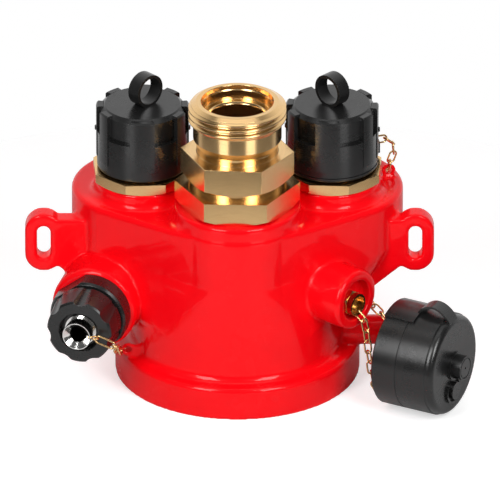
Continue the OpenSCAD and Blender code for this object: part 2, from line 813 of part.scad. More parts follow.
// The plated barrel through bonnet and wheel, with its countersunk mouth
module test_barrel() {
    cone = 4.2;
    color(nickel) on_valve() difference() {
        translate([0, 0, -bonnet_plug_l + sleeve_room]) cylinder(r = barrel_r, h = barrel_end_z + bonnet_plug_l - sleeve_room);
        translate([0, 0, -bonnet_plug_l]) cylinder(r = barrel_bore_r, h = barrel_end_z + bonnet_plug_l + over);
        translate([0, 0, barrel_end_z - cone]) cylinder(r1 = barrel_bore_r, r2 = barrel_r - 0.6, h = cone + 0.01);
        translate([0, 0, barrel_eye_z]) rotate([0, 90, 0]) cylinder(r = eye_shank_r + thread_gap, h = 2 * barrel_r, $fn = 24);
        rotate_extrude()
            translate([barrel_r, wheel_clip_z]) square([2 * clip_depth, clip_t + 0.2], center = true);
    }
}

clip_depth = 1;
clip_t = 1.6;
clip_w = 1.4;
wheel_clip_z = wheel_face_z - dish_depth + run_gap + clip_t / 2;

// The plated ring that keeps the wheel on the barrel
module wheel_clip() {
    color(nickel) on_valve(wheel_clip_z) difference() {
        cylinder(r = barrel_r + clip_w, h = clip_t, center = true);
        cylinder(r = barrel_r - clip_depth + 0.1, h = clip_t + 2 * over, center = true);
    }
}

// ---------------------------------------------------------------- ball drip

drip_shank_r = 7.5;
drip_shank_l = 20;
drip_hex_r = 10.8;
drip_hex_l = 5;
drip_seat_r = 3.6;
drip_seat_l = 4;
drip_web = 1;
drip_seat_z = -drip_recess_depth - drip_seat_l + drip_web;
drip_pin_r = 1;
drip_out = 1;
// Place of the ball's centre when it is off its seat
drip_ball_z = drip_seat_z - sqrt(drip_ball_r * drip_ball_r - drip_seat_r * drip_seat_r) - drip_travel - 0.1;
drip_pin_z = drip_ball_z - drip_ball_r - drip_pin_r - 0.5;
drip_hole_z = -2.6;
drip_hole_r = 1.7;

module drip_fitting() {
    color(brass) on_drip(0, drip_drop) difference() {
        union() {
            translate([0, 0, -drip_recess_depth]) nut(6, drip_hex_r, drip_hex_l, 0, false);
            translate([0, 0, -drip_recess_depth - drip_shank_l])
                cylinder(r = drip_shank_r - thread_gap, h = drip_shank_l + over);
            translate([0, 0, -drip_recess_depth + over])
                cylinder(r = drip_tube_r, h = drip_out + drip_recess_depth - over);
        }
        translate([0, 0, drip_seat_z - 40]) cylinder(r = drip_ball_r + 0.35, h = 40);
        translate([0, 0, drip_seat_z - over]) cylinder(r = drip_seat_r, h = drip_seat_l + 2 * over);
        translate([0, 0, drip_seat_z + drip_seat_l])
            cylinder(r = drip_tube_r - drip_tube_wall, h = drip_out - drip_seat_z);
        translate([0, 0, drip_pin_z]) rotate([90, 0, 0])
            cylinder(r = drip_pin_r + 0.02, h = 4 * drip_shank_r, center = true, $fn = 24);
        translate([0, 0, drip_hole_z]) rotate([0, 90, 0]) cylinder(r = drip_hole_r, h = 2 * drip_tube_r, $fn = 24);
    }
}

module drip_ball() color(nickel) on_drip(drip_ball_z, drip_drop) sphere(r = drip_ball_r);

module drip_pin() {
    color(nickel) on_drip(drip_pin_z, drip_drop) rotate([90, 0, 0])
        cylinder(r = drip_pin_r, h = 2 * (drip_shank_r - 0.6), center = true, $fn = 24);
}

// ---------------------------------------------------------------- loose cap

// Places its children on the loose cap's axis, +Z from its mouth to its closed end
module on_loose(z = 0) {
    translate([loose_x, -loose_y, loose_r]) rotate([0, 0, -loose_angle]) rotate([0, 90, 0])
        translate([0, 0, z]) children();
}

loose_in_r = loose_r - loose_wall;
loose_in_l = loose_l - loose_end_t;
strap_rise = 9.5;
strap_from = 24;
strap_to = loose_l - 1;
strap_foot = 1.4;
strap_toe = -2.2;

// Height of the strap's outer side above the cap's skirt, at a fraction of its length
function strap_height(u) = strap_foot + (strap_toe - strap_foot) * u + strap_rise * pow(sin(180 * u), 0.7);

module strap() {
    steps = 16;
    base = loose_r - 3 * strap_t;
    side = concat(
        [for (i = [0:steps]) [loose_r + strap_height(i / steps), strap_from + (strap_to - strap_from) * i / steps]],
        [[base, strap_to], [base, strap_from]]);
    rotate([0, 0, 180]) rotate([90, 0, 0])
        linear_extrude(strap_w, center = true) difference() {
            polygon(side);
            offset(delta = -strap_t) polygon(side);
        }
}

module loose_cap() {
    shoulder = 6;
    bead = 1;
    pad_angle = 48;
    pad_l = 26;
    pad_t = 2;
    button = [20, -3.6];
    color(black) on_loose() difference() {
        union() {
            rotate_extrude($fn = 96)
                polygon(concat(
                    [[0, 0], [loose_r - 1.2, 0], [loose_r, 1.2], [loose_r, 21], [loose_r - 0.5, 21.4],
                     [loose_r - 0.5, 22], [loose_r, 22.4], [loose_r, loose_l - shoulder - 1],
                     [loose_r - bead, loose_l - shoulder]],
                    arc([loose_r - bead - shoulder + 1, loose_l - shoulder + 1], shoulder - 1, 0, 90),
                    [[0, loose_l]]));
            translate([0, 0, loose_l - 1]) cylinder(r = stub_r + 1.6, h = 2.6);
            translate([0, 0, loose_l]) cylinder(r = stub_r, h = stub_h);
            rotate([0, 0, 180 - pad_angle / 2]) rotate_extrude(angle = pad_angle)
                translate([loose_r - 1, 0]) square([pad_t + 1, pad_l]);
            strap();
            translate([button.x, button.y, loose_l - 1]) {
                cylinder(r = 7.3, h = 5);
                difference() {
                    cylinder(r = 11.4, h = 2.8);
                    translate([0, 0, -over]) cylinder(r = 9.4, h = 6);
                    translate([-14, 0, 0]) cube([16, 30, 10], center = true);
                }
            }
        }
        translate([0, 0, -over]) cylinder(r = loose_in_r, h = loose_in_l + over, $fn = 96);
        translate([0, 0, loose_l + stub_h - 0.8]) difference() {
            cylinder(r = stub_r - 1.2, h = 2);
            translate([0, 0, -over]) cylinder(r = stub_r - 2.2, h = 4);
        }
        translate([0, 0, loose_l + stub_h - 1]) cylinder(r = 1, h = 2, $fn = 20);
        translate([0, 0, loose_in_l - 1]) cylinder(r = eye_shank_r + thread_gap, h = 9, $fn = 24);
    }
}

module loose_cap_seal() {
    color(rubber) on_loose(loose_in_l - cap_seal_t) difference() {
        cylinder(r = loose_in_r - 0.1, h = cap_seal_t);
        translate([0, 0, -over]) cylinder(r = mouth_r, h = cap_seal_t + 2 * over);
    }
}

// ---------------------------------------------------------------- eyes and chains

eye_shank_r = 1.2;
eye_r = 2.7;
loose_eye_r = 4.6;
wire_r = wire_d / 2;
barrel_eye_z = barrel_end_z - 2;
shank_l = 3;
// Play between a link's end and the wire eye that it hangs in
eye_play = 0.3;
loose_eye_s = loose_in_l - cap_seal_t - 2 - loose_eye_r;

// A wire eye at the origin: the ring lies in the XZ plane, the shank points to -X
module wire_eye(r, shank) {
    rotate([90, 0, 0]) rotate_extrude($fn = 32) translate([r, 0]) circle(r = wire_r, $fn = 16);
    translate([-r - shank, 0, 0]) rotate([0, 90, 0]) cylinder(r = eye_shank_r, h = shank, $fn = 24);
}

module barrel_eye() {
    color(brass) on_valve(barrel_eye_z) translate([barrel_r + eye_r + wire_r, 0, 0]) wire_eye(eye_r, shank_l);
}

module loose_cap_eye() {
    color(brass) on_loose(loose_eye_s) rotate([0, 90, 0])
        wire_eye(loose_eye_r, loose_in_l + 5 - loose_eye_s - loose_eye_r);
}

// The ring that turns in a groove at the right cap's lower edge and carries its chain
swivel_z = cap_z + 2;
swivel_t = 1.5;
swivel_in_r = 34.2;
swivel_turn = 27;
swivel_tab_r = 39.6;
swivel_tab_w = 8;
swivel_tab_t = 1.5;
swivel_eye_z = cap_z + 0.172 * cap_h;
swivel_hole_r = 2;

module at_swivel() translate([side_x, side_y, 0]) rotate([0, 0, swivel_turn]) children();

module swivel_groove() {
    rotate_extrude()
        translate([swivel_in_r - run_gap, swivel_z - cap_z - run_gap])
            square([cap_r, swivel_t + 2 * run_gap]);
}

module cap_swivel() {
    color(black) at_swivel() difference() {
        union() {
            translate([0, 0, swivel_z]) cylinder(r = cap_skirt_r + 0.5, h = swivel_t);
            translate([swivel_in_r + 1, -swivel_tab_w / 2, swivel_z])
                cube([swivel_tab_r + swivel_tab_t - swivel_in_r - 1, swivel_tab_w, swivel_t]);
            translate([swivel_tab_r, -swivel_tab_w / 2, swivel_z])
                cube([swivel_tab_t, swivel_tab_w, swivel_eye_z - swivel_z]);
            translate([swivel_tab_r, 0, swivel_eye_z]) rotate([0, 90, 0])
                cylinder(r = swivel_tab_w / 2, h = swivel_tab_t, $fn = 36);
        }
        translate([0, 0, swivel_z - over]) cylinder(r = swivel_in_r, h = swivel_t + 2 * over);
        translate([swivel_tab_r - over, 0, swivel_eye_z]) rotate([0, 90, 0])
            cylinder(r = swivel_hole_r, h = swivel_tab_t + 2 * over, $fn = 36);
    }
}

function unit(v) = v / norm(v);
function turned(v, a) = [v.x * cos(a) - v.y * sin(a), v.x * sin(a) + v.y * cos(a), v.z];

// A point of a smooth curve through listed points, between the second and the third
function spline_point(a, b, c, d, t) =
    0.5 * (2 * b + (c - a) * t + (2 * a - 5 * b + 4 * c - d) * t * t + (3 * b - a - 3 * c + d) * t * t * t);

spline_steps = 12;

// The curve through all listed points, as a dense row of points
function spline(p) = let (n = len(p)) concat(
    [for (i = [0:n - 2], k = [0:spline_steps - 1])
        spline_point(i == 0 ? 2 * p[0] - p[1] : p[i - 1], p[i], p[i + 1],
                     i == n - 2 ? 2 * p[n - 1] - p[n - 2] : p[i + 2], k / spline_steps)],
    [p[n - 1]]);

function path_length(p) = [for (i = 0, s = 0; i < len(p); s = s + (i < len(p) - 1 ? norm(p[i + 1] - p[i]) : 0), i = i + 1) s][len(p) - 1];

// The next point at a given distance along the curve, with its segment
function step_on(p, i, c, d) =
    (norm(p[i] - c) >= d || i == len(p) - 1)
        ? let (a = p[i - 1], u = p[i] - a, f = a - c, uu = u * u, fu = f * u,
               t = (-fu + sqrt(max(0, fu * fu - uu * (f * f - d * d)))) / uu)
          [i, a + t * u, i + t]
        : step_on(p, i + 1, c, d);

// The joints of a chain with links of one pitch, walked along the curve
function walk(p, d, n) =
    [for (k = 0, s = [1, p[0], 0]; k <= n; s = k < n ? step_on(p, s[0], s[1], d) : s, k = k + 1) s];

// The pitch at which a number of links ends at the curve's end, by halving
function fit_pitch(p, n, low, high, k = 18) =
    k == 0 ? (low + high) / 2
    : let (mid = (low + high) / 2, last = walk(p, mid, n)[n])
      last[2] < len(p) ? fit_pitch(p, n, mid, high, k - 1) : fit_pitch(p, n, low, mid, k - 1);

// One link of wire: two half rings and two straight sides, long along X, wide along Y
module link(inside) {
    half = (inside - link_w) / 2;
    bend = (link_w + wire_d) / 2;
    for (s = [0, 180])
        rotate([0, 0, s]) {
            translate([half, 0, 0]) rotate([0, 0, -90])
                rotate_extrude(angle = 180, $fn = 32) translate([bend, 0]) circle(r = wire_r, $fn = 16);
            translate([-half, bend, 0]) rotate([0, 90, 0]) cylinder(r = wire_r, h = 2 * half, $fn = 16);
        }
}

// A link between two joints, its width along a given direction
module link_between(a, b, side, inside) {
    x = unit(b - a);
    y = unit(side - (side * x) * x);
    z = cross(x, y);
    c = (a + b) / 2;
    multmatrix([[x.x, y.x, z.x, c.x], [x.y, y.y, z.y, c.y], [x.z, y.z, z.z, c.z]]) link(inside);
}

// A chain along a curve, each link a quarter turn from the last; the sides are
// the directions of the eyes that its two ends hang in
module chain(points, side_a, side_b) {
    path = spline(points);
    n = ceil(path_length(path) / (link_in - link_slack));
    d = fit_pitch(path, n, 0.8 * link_in, link_in);
    inside = round(100 * (d + link_slack)) / 100;
    joints = [for (s = walk(path, d, n)) s[1]];
    for (k = [0:n - 1]) {
        x = unit(joints[k + 1] - joints[k]);
        across = (k % 2 == 0) ? side_a : cross(x, side_a);
        across_b = ((n - 1 - k) % 2 == 0) ? side_b : cross(x, side_b);
        way = across * across_b < 0 ? -1 : 1;
        t = k / (n - 1);
        link_between(joints[k], joints[k + 1], (1 - t) * unit(across) + t * way * unit(across_b),
                     inside);
    }
}

across_valve = turned([1, 0, 0], -valve_angle);
out_valve = turned([0, -1, 0], -valve_angle);
drip_way = turned([1, 0, 0], -drip_angle);
out_drip = turned([1, 0, 0], -drip_angle - drip_toe);
out_loose = turned([1, 0, 0], -loose_angle);
loose_mouth = [loose_x, -loose_y, loose_r];
loose_eye = loose_mouth + loose_eye_s * out_loose;
eye_hook = loose_eye_r - wire_r - eye_play;

// The wheel's chain: a long hook link, then a chain to the eye beside the neck
hook_in = 15.5;
hook_drop = 19;
wheel_chain_sag = 3;
wheel_eye = [-valve_x, -valve_y, valve_z] + barrel_eye_z * out_valve
            + (barrel_r + eye_r + wire_r) * across_valve;
hook_way = cos(hook_drop) * across_valve - [0, 0, sin(hook_drop)];
hook_a = wheel_eye + (eye_r - wire_r - eye_play) * hook_way;
hook_b = hook_a + (hook_in - link_slack) * hook_way;

module wheel_chain() {
    end = wheel_lug + [-(lug_r + lug_hole_r) / 2, lug_t / 2 + link_play + 0.2, -0.8];
    start = hook_b + (wire_r + link_slack / 2) * hook_way - wire_r * unit(end - hook_b);
    side = cross(hook_way, out_valve);
    color(brass) {
        link_between(hook_a, hook_b, side, hook_in);
        chain([start, (start + end) / 2 - [0, 0, wheel_chain_sag], end], hook_way, [1, 0, 0]);
    }
}

// A place beside the head's right end: out from its centre, round it and up, in parts of the head's sizes
function by_head(out, angle, up) =
    [head_end_x, head_end_y, up * head_z] + turned([out * head_end_r, 0, 0], angle);

// The right cap's chain, from its swivel ring over the head's rim to the eye on the head's top
module cap_chain() {
    start = [side_x, side_y, swivel_eye_z + (swivel_tab_w / 2 + swivel_hole_r) / 2]
            + turned([swivel_tab_r - 0.33, 0, 0], swivel_turn);
    end = by_head(top_lug_out / head_end_r, top_lug_angle, 1) + [0, 0, top_lug_rise + lug_hole_r - link_play];
    color(brass)
        chain([start, by_head(0.807, 8.4, 1.235), by_head(0.878, 9, 1.208), by_head(0.898, 9.3, 1.154),
               by_head(0.864, 9.6, 1.114), end],
              [0, 0, 1], turned([0, 1, 0], top_lug_angle));
}

// A place near the loose cap's mouth: to the right, to the front and up, in parts of the cap's own place
function by_cap(x, y, z) = [x * loose_x, -y * loose_y, z * loose_r];

// The drip's chain, from the fitting's tube over the loose cap's lip to its eye
module drip_chain() {
    rim_z = (drip_out + drip_hole_z + drip_hole_r) / 2;
    start = [0, 0, drip_z - drip_drop - drip_tube_r + drip_tube_wall + 0.1] + drip_reach * drip_way
            + rim_z * out_drip;
    first = 0.8 * out_drip - [0, 0, 0.6];
    end = loose_eye + eye_hook * unit([-0.5 * out_loose.x, -0.5 * out_loose.y, -1]);
    color(brass)
        chain([start - 0.9 * first, start + drip_tube_r * first, by_cap(0.829, 1.177, 1.247),
               by_cap(0.845, 1.186, 0.887), by_cap(0.869, 1.177, 0.456), by_cap(0.916, 1.152, 0.24),
               by_cap(0.988, 1.143, 0.18), by_cap(1.084, 1.22, 0.204), by_cap(1.179, 1.28, 0.408), end],
              out_drip, turned([0, 1, 0], -loose_angle));
}

// The loose cap's chain, from the cast eye behind the drip boss to the same eye
module loose_cap_chain() {
    lug_way = turned([1, 0, 0], loose_lug_angle);
    start = [0, 0, loose_lug_z] + loose_lug_reach * lug_way
            + (lug_hole_r - link_play) * unit(turned(lug_way, -loose_lug_toe) - [0, 0, 0.8]);
    end = loose_eye - eye_hook * out_loose;
    color(brass)
        chain([start, by_cap(0.853, 0.648, 1.775), by_cap(0.916, 0.785, 1.655), by_cap(0.972, 0.896, 1.463),
               by_cap(1.028, 0.998, 1.199), by_cap(1.092, 1.101, 0.959), end],
              turned([0, 1, 0], loose_lug_angle - loose_lug_toe), turned([0, 1, 0], -loose_angle));
}

// ---------------------------------------------------------------- the parts

body();
side_nipple(-1);  // left_nipple
side_nipple(1);  // right_nipple
centre_nipple();
nipple_seal(side_places[0], side_thread_r);  // left_nipple_seal
nipple_seal(side_places[1], side_thread_r);  // right_nipple_seal
nipple_seal(centre_place, centre_thread_r);  // centre_nipple_seal
flap(side_places[0], side_thread_r, side_bore_r);  // left_flap
flap(side_places[1], side_thread_r, side_bore_r);  // right_flap
flap(centre_place, centre_thread_r, centre_bore_r);  // centre_flap
flap_pin(side_places[0], side_thread_r);  // left_flap_pin
flap_pin(side_places[1], side_thread_r);  // right_flap_pin
flap_pin(centre_place, centre_thread_r);  // centre_flap_pin
hose_adaptor();
adaptor_seal();
side_cap(-1, 0, 1);  // left_cap
side_cap(1, right_cap_turn, -1);  // right_cap
cap_seal(side_places[0]);  // left_cap_seal
cap_seal(side_places[1]);  // right_cap_seal
cap_swivel();
valve_bonnet();
valve_seal();
valve_sleeve();
hand_wheel();
test_barrel();
wheel_clip();
barrel_eye();
drip_fitting();
drip_ball();
drip_pin();
loose_cap();
loose_cap_seal();
loose_cap_eye();
cap_chain();
wheel_chain();
drip_chain();
loose_cap_chain();
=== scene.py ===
"""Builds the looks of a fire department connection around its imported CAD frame."""

import json
import math

import bmesh
import bpy
import numpy
from bpy.props import FloatProperty, FloatVectorProperty, IntProperty, PointerProperty
from mathutils import Matrix, Vector
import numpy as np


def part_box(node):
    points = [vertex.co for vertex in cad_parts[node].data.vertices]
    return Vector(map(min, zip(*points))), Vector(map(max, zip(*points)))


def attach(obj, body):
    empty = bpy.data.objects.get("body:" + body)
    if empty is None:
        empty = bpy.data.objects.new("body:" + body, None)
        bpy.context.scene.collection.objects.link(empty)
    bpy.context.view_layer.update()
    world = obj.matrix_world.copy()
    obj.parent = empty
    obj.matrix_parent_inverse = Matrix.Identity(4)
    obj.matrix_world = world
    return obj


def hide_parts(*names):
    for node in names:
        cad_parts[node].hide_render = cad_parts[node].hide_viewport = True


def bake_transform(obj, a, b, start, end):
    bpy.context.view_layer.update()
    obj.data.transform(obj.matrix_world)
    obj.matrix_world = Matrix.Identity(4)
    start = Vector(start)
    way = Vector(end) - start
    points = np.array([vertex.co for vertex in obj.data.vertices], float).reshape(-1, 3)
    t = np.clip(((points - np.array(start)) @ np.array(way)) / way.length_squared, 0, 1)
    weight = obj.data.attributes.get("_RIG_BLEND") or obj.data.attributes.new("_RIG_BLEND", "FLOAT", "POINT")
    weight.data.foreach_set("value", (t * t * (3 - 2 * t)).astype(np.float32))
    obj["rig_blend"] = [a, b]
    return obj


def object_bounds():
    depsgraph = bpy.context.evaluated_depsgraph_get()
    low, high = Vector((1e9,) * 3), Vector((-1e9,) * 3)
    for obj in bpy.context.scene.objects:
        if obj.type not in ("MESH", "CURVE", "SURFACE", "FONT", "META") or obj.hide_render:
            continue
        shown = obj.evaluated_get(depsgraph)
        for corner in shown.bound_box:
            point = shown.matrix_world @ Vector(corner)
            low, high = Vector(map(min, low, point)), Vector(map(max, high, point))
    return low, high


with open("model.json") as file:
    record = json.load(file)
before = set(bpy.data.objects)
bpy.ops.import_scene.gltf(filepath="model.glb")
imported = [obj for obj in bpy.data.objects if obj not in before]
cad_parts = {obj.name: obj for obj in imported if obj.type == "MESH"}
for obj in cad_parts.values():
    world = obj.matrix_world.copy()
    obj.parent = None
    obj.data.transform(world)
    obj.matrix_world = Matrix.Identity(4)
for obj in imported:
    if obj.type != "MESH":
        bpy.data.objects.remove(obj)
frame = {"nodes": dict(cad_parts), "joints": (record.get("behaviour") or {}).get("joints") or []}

bl_info = {
    "name": "Fire Department Connection",
    "version": (1, 0, 0),
    "blender": (4, 5, 0),
    "location": "3D View > Sidebar > Connection",
    "description": "Dresses the cast body, its outlets, caps, valves and chains",
    "category": "Add Mesh",
}

MM = 0.001
CAD_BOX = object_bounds()


# ------------------------------------------------------------------ places from the frame

def middle(node):
    """Middle of a CAD node's box."""
    low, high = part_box(node)
    return (low + high) / 2


def joint(name):
    """A joint of the frame by its name."""
    return next(j for j in frame["joints"] if j["name"] == name)


LEFT_CAP = Vector(joint("left_cap_turn")["pos_m"])
RIGHT_CAP = Vector(joint("right_cap_turn")["pos_m"])
OUTLET = middle("hose_adaptor")


# ------------------------------------------------------------------ sizes in millimetres and degrees

COLLAR_SEAT = 162.4          # where the brass collars sit on the bosses
COLLAR_HEIGHT = 9.0
COLLAR_FLAT = 38.5           # from a side outlet's axis to its collar's flats
COLLAR_TURN = 3.8            # each side collar's turn away from the front
NUT_CORNER = 50.0            # from the centre outlet's axis to the lower hexagon's corners
NUT_HEIGHT = 19.1
NUT_TURN = -2.0
COLLAR_BORE = 29.0
FIT = 0.02                   # keeps a milled blank's faces off the CAD faces it covers

UPPER_NUT_CORNER = 45.5
UPPER_NUT_HEIGHT = 22.8
UPPER_NUT_TURN = -5.0
CORNER_CUT = 0.55            # rise of a nut's turned-off lower corners for each unit outwards
SPIGOT_BORE = 31.05          # fits over the lower hexagon's spigot
SPIGOT_DEPTH = 17.0
WATERWAY = 22.4
LIP_HEIGHT = 2.5
THREAD_END = 2.4             # from the adaptor's top down to the hose thread
ROOT = 2.7                   # the adaptor's root is thinner than its neck by this radius
THREAD_START = 69.0          # turn at which the hose thread begins
THREAD_WALL = 0.97           # inner radius of the thread's ring as a share of its outer one
THREAD_FLANK = 0.75          # length of a flank as a share of the thread's depth
THREAD_FADE = 1.2            # over this length the thread runs out at both ends

HEAD_ARM = (67.6, 63.9)      # from the centre outlet's axis to that of the head's rounded end
HEAD_SIDE = (0.687, -0.727)  # outward direction of the wall between the two
HEAD_FRONT_R = 61.0
HEAD_END_GROWTH = 4.0        # the head's end is rounder than its front by this radius
HEAD_CEILING = 141.0         # underside of the head's top plate
FRONT_LOW, FRONT_RISE = 60.0, 47.0     # the wall is drawn in fully above the sum of both
TOP_REACH, WALL_REACH = 10.3, 36.0     # depth behind the wall that moves with it


# ------------------------------------------------------------------ settings

class ConnectionCasting(bpy.types.PropertyGroup):
    grain: FloatProperty(name="Grain", description="Edge length of the casting's mesh",
                         default=1.15 * MM, unit="LENGTH")
    rounding: IntProperty(name="Rounding", description="Smoothing steps that round the cast edges", default=7)
    triangles: IntProperty(name="Triangles", description="Most triangles of the casting", default=180000)
    draw: FloatProperty(name="Front draw", description="How far the front wall is drawn in under the boss",
                        default=9.8 * MM, unit="LENGTH")


class ConnectionThread(bpy.types.PropertyGroup):
    crest_radius: FloatProperty(name="Crest radius", description="Radius over the hose thread's crests",
                                default=39.1 * MM, unit="LENGTH")
    depth: FloatProperty(name="Depth", description="Depth of the groove", default=2.3 * MM, unit="LENGTH")
    pitch: FloatProperty(name="Pitch", description="Rise of the hose thread in one turn",
                         default=5.08 * MM, unit="LENGTH")
    crest: FloatProperty(name="Crest", description="Width of the crest", default=1.0 * MM, unit="LENGTH")
    length: FloatProperty(name="Length", description="Length of the threaded part", default=14.4 * MM,
                          unit="LENGTH")
    neck: FloatProperty(name="Neck radius", description="Radius of the plain neck", default=35.3 * MM,
                        unit="LENGTH")
    lip: FloatProperty(name="Lip radius", description="Radius of the lip above the thread",
                       default=36.8 * MM, unit="LENGTH")
    mouth: FloatProperty(name="Mouth radius", description="Radius of the outlet's mouth",
                         default=28.2 * MM, unit="LENGTH")


class ConnectionChain(bpy.types.PropertyGroup):
    wire: FloatProperty(name="Wire", description="Diameter of the chains' wire", default=1.5 * MM,
                        unit="LENGTH")
    round_points: IntProperty(name="Round", description="Points round the wire", default=12)
    bend_points: IntProperty(name="Bend", description="Points of each bend of a link", default=8)


class ConnectionFinish(bpy.types.PropertyGroup):
    enamel: FloatVectorProperty(name="Enamel", description="Colour of the enamel", subtype="COLOR", size=4,
                                default=(0.85, 0.002, 0.006, 1.0), min=0.0, max=1.0)
    brass: FloatVectorProperty(name="Brass", description="Colour of the brass", subtype="COLOR", size=4,
                               default=(0.82, 0.54, 0.25, 1.0), min=0.0, max=1.0)
    plastic: FloatVectorProperty(name="Plastic", description="Colour of the black plastic", subtype="COLOR",
                                 size=4, default=(0.008, 0.008, 0.008, 1.0), min=0.0, max=1.0)
    nickel: FloatVectorProperty(name="Nickel", description="Colour of the plated metal", subtype="COLOR",
                                size=4, default=(0.80, 0.79, 0.77, 1.0), min=0.0, max=1.0)
    rubber: FloatVectorProperty(name="Rubber", description="Colour of the seals", subtype="COLOR", size=4,
                                default=(0.018, 0.018, 0.018, 1.0), min=0.0, max=1.0)


class ConnectionStage(bpy.types.PropertyGroup):
    view_width: FloatProperty(name="View width", description="Width of the view at the object",
                              default=0.4, unit="LENGTH")
    elevation: FloatProperty(name="Elevation", description="Height of the view above level",
                             default=math.radians(26.5), subtype="ANGLE")
    distance: FloatProperty(name="Distance", description="Distance of the camera", default=16.0,
                            unit="LENGTH")
    aim_x: FloatProperty(name="Aim sideways", description="Aim point, to the right", default=0.0101,
                         unit="LENGTH")
    aim_z: FloatProperty(name="Aim height", description="Aim point's height", default=0.1028, unit="LENGTH")
    lamp: FloatProperty(name="Lamps", description="Strength of the lamps", default=0.95)
    room: FloatProperty(name="Room", description="Brightness of the room in front", default=0.10)
    wall: FloatProperty(name="Wall", description="Brightness of the white wall behind", default=1.0)
    table: FloatProperty(name="Table", description="Radius of the table top", default=0.45, unit="LENGTH")
    veil: FloatProperty(name="Veil", description="White that lightens the table's shadows", default=0.55)


# ------------------------------------------------------------------ shader node groups

def group_tree(name, inputs, outputs):
    """An empty shader group with float or colour sockets."""
    tree = bpy.data.node_groups.new(name, "ShaderNodeTree")
    for label, kind, value in inputs:
        socket = tree.interface.new_socket(name=label, in_out="INPUT", socket_type=kind)
        if value is not None:
            socket.default_value = value
    for label, kind in outputs:
        tree.interface.new_socket(name=label, in_out="OUTPUT", socket_type=kind)
    return tree, tree.nodes.new("NodeGroupInput"), tree.nodes.new("NodeGroupOutput")


def noise_node(tree, scale, detail, stretch=(1, 1, 1)):
    """A noise on Object coordinates; scale is in features per metre."""
    place = tree.nodes.new("ShaderNodeTexCoord")
    mapping = tree.nodes.new("ShaderNodeMapping")
    mapping.inputs["Scale"].default_value = stretch
    noise = tree.nodes.new("ShaderNodeTexNoise")
    noise.inputs["Scale"].default_value = scale
    noise.inputs["Detail"].default_value = detail
    tree.links.new(place.outputs["Object"], mapping.inputs["Vector"])
    tree.links.new(mapping.outputs["Vector"], noise.inputs["Vector"])
    return noise


def math_node(tree, operation, *values):
    """A Math node whose inputs are sockets or numbers."""
    node = tree.nodes.new("ShaderNodeMath")
    node.operation = operation
    for slot, value in zip(node.inputs, values):
        if isinstance(value, bpy.types.NodeSocket):
            tree.links.new(value, slot)
        else:
            slot.default_value = value
    return node.outputs["Value"]


def cast_skin_group():
    """Slow waves and fine grain of a sand casting under paint."""
    tree, inside, out = group_tree(
        "Cast Skin",
        [("Waves", "NodeSocketFloat", 0.5), ("Grain", "NodeSocketFloat", 0.2)],
        [("Height", "NodeSocketFloat"), ("Mask", "NodeSocketFloat")])
    waves = noise_node(tree, 55.0, 2.0)
    grain = noise_node(tree, 420.0, 3.0)
    a = math_node(tree, "MULTIPLY", waves.outputs["Fac"], inside.outputs["Waves"])
    b = math_node(tree, "MULTIPLY", grain.outputs["Fac"], inside.outputs["Grain"])
    tree.links.new(math_node(tree, "ADD", a, b), out.inputs["Height"])
    tree.links.new(waves.outputs["Fac"], out.inputs["Mask"])
    return tree


def handling_group():
    """Uneven gloss from handling: soft smudges and sparse fine scratches."""
    tree, inside, out = group_tree(
        "Handling",
        [("Smudge", "NodeSocketFloat", 0.5), ("Scratch", "NodeSocketFloat", 0.3)],
        [("Roughness", "NodeSocketFloat"), ("Scratches", "NodeSocketFloat")])
    smudge = noise_node(tree, 38.0, 4.0)
    lines = noise_node(tree, 240.0, 2.0, (1.0, 1.0, 9.0))
    thin = math_node(tree, "SMOOTH_MIN", lines.outputs["Fac"], 0.42, 0.02)
    cut = math_node(tree, "MULTIPLY", math_node(tree, "SUBTRACT", 0.42, thin), 6.0)
    a = math_node(tree, "MULTIPLY", smudge.outputs["Fac"], inside.outputs["Smudge"])
    b = math_node(tree, "MULTIPLY", cut, inside.outputs["Scratch"])
    tree.links.new(math_node(tree, "ADD", a, b), out.inputs["Roughness"])
    tree.links.new(cut, out.inputs["Scratches"])
    return tree


def turning_group():
    """Turning marks: fine rings round an upright axis, on the sides and on the level faces."""
    tree, inside, out = group_tree(
        "Turning Marks",
        [("Centre", "NodeSocketVector", None)],
        [("Height", "NodeSocketFloat"), ("Shade", "NodeSocketFloat")])
    place = tree.nodes.new("ShaderNodeTexCoord")
    away = tree.nodes.new("ShaderNodeVectorMath")
    away.operation = "SUBTRACT"
    tree.links.new(place.outputs["Object"], away.inputs[0])
    tree.links.new(inside.outputs["Centre"], away.inputs[1])
    split = tree.nodes.new("ShaderNodeSeparateXYZ")
    tree.links.new(away.outputs["Vector"], split.inputs["Vector"])
    xx = math_node(tree, "MULTIPLY", split.outputs["X"], split.outputs["X"])
    yy = math_node(tree, "MULTIPLY", split.outputs["Y"], split.outputs["Y"])
    radius = math_node(tree, "SQRT", math_node(tree, "ADD", xx, yy))
    join = tree.nodes.new("ShaderNodeCombineXYZ")
    tree.links.new(math_node(tree, "ADD", radius, split.outputs["Z"]), join.inputs["X"])
    fine = tree.nodes.new("ShaderNodeTexNoise")
    fine.inputs["Scale"].default_value = 2600.0
    fine.inputs["Detail"].default_value = 2.0
    tree.links.new(join.outputs["Vector"], fine.inputs["Vector"])
    broad = tree.nodes.new("ShaderNodeTexNoise")
    broad.inputs["Scale"].default_value = 420.0
    broad.inputs["Detail"].default_value = 1.0
    tree.links.new(join.outputs["Vector"], broad.inputs["Vector"])
    tree.links.new(fine.outputs["Fac"], out.inputs["Height"])
    tree.links.new(broad.outputs["Fac"], out.inputs["Shade"])
    return tree


GROUPS = {}


def shared_group(make):
    """A shader group, built once."""
    if make.__name__ not in GROUPS:
        GROUPS[make.__name__] = make()
    return GROUPS[make.__name__]


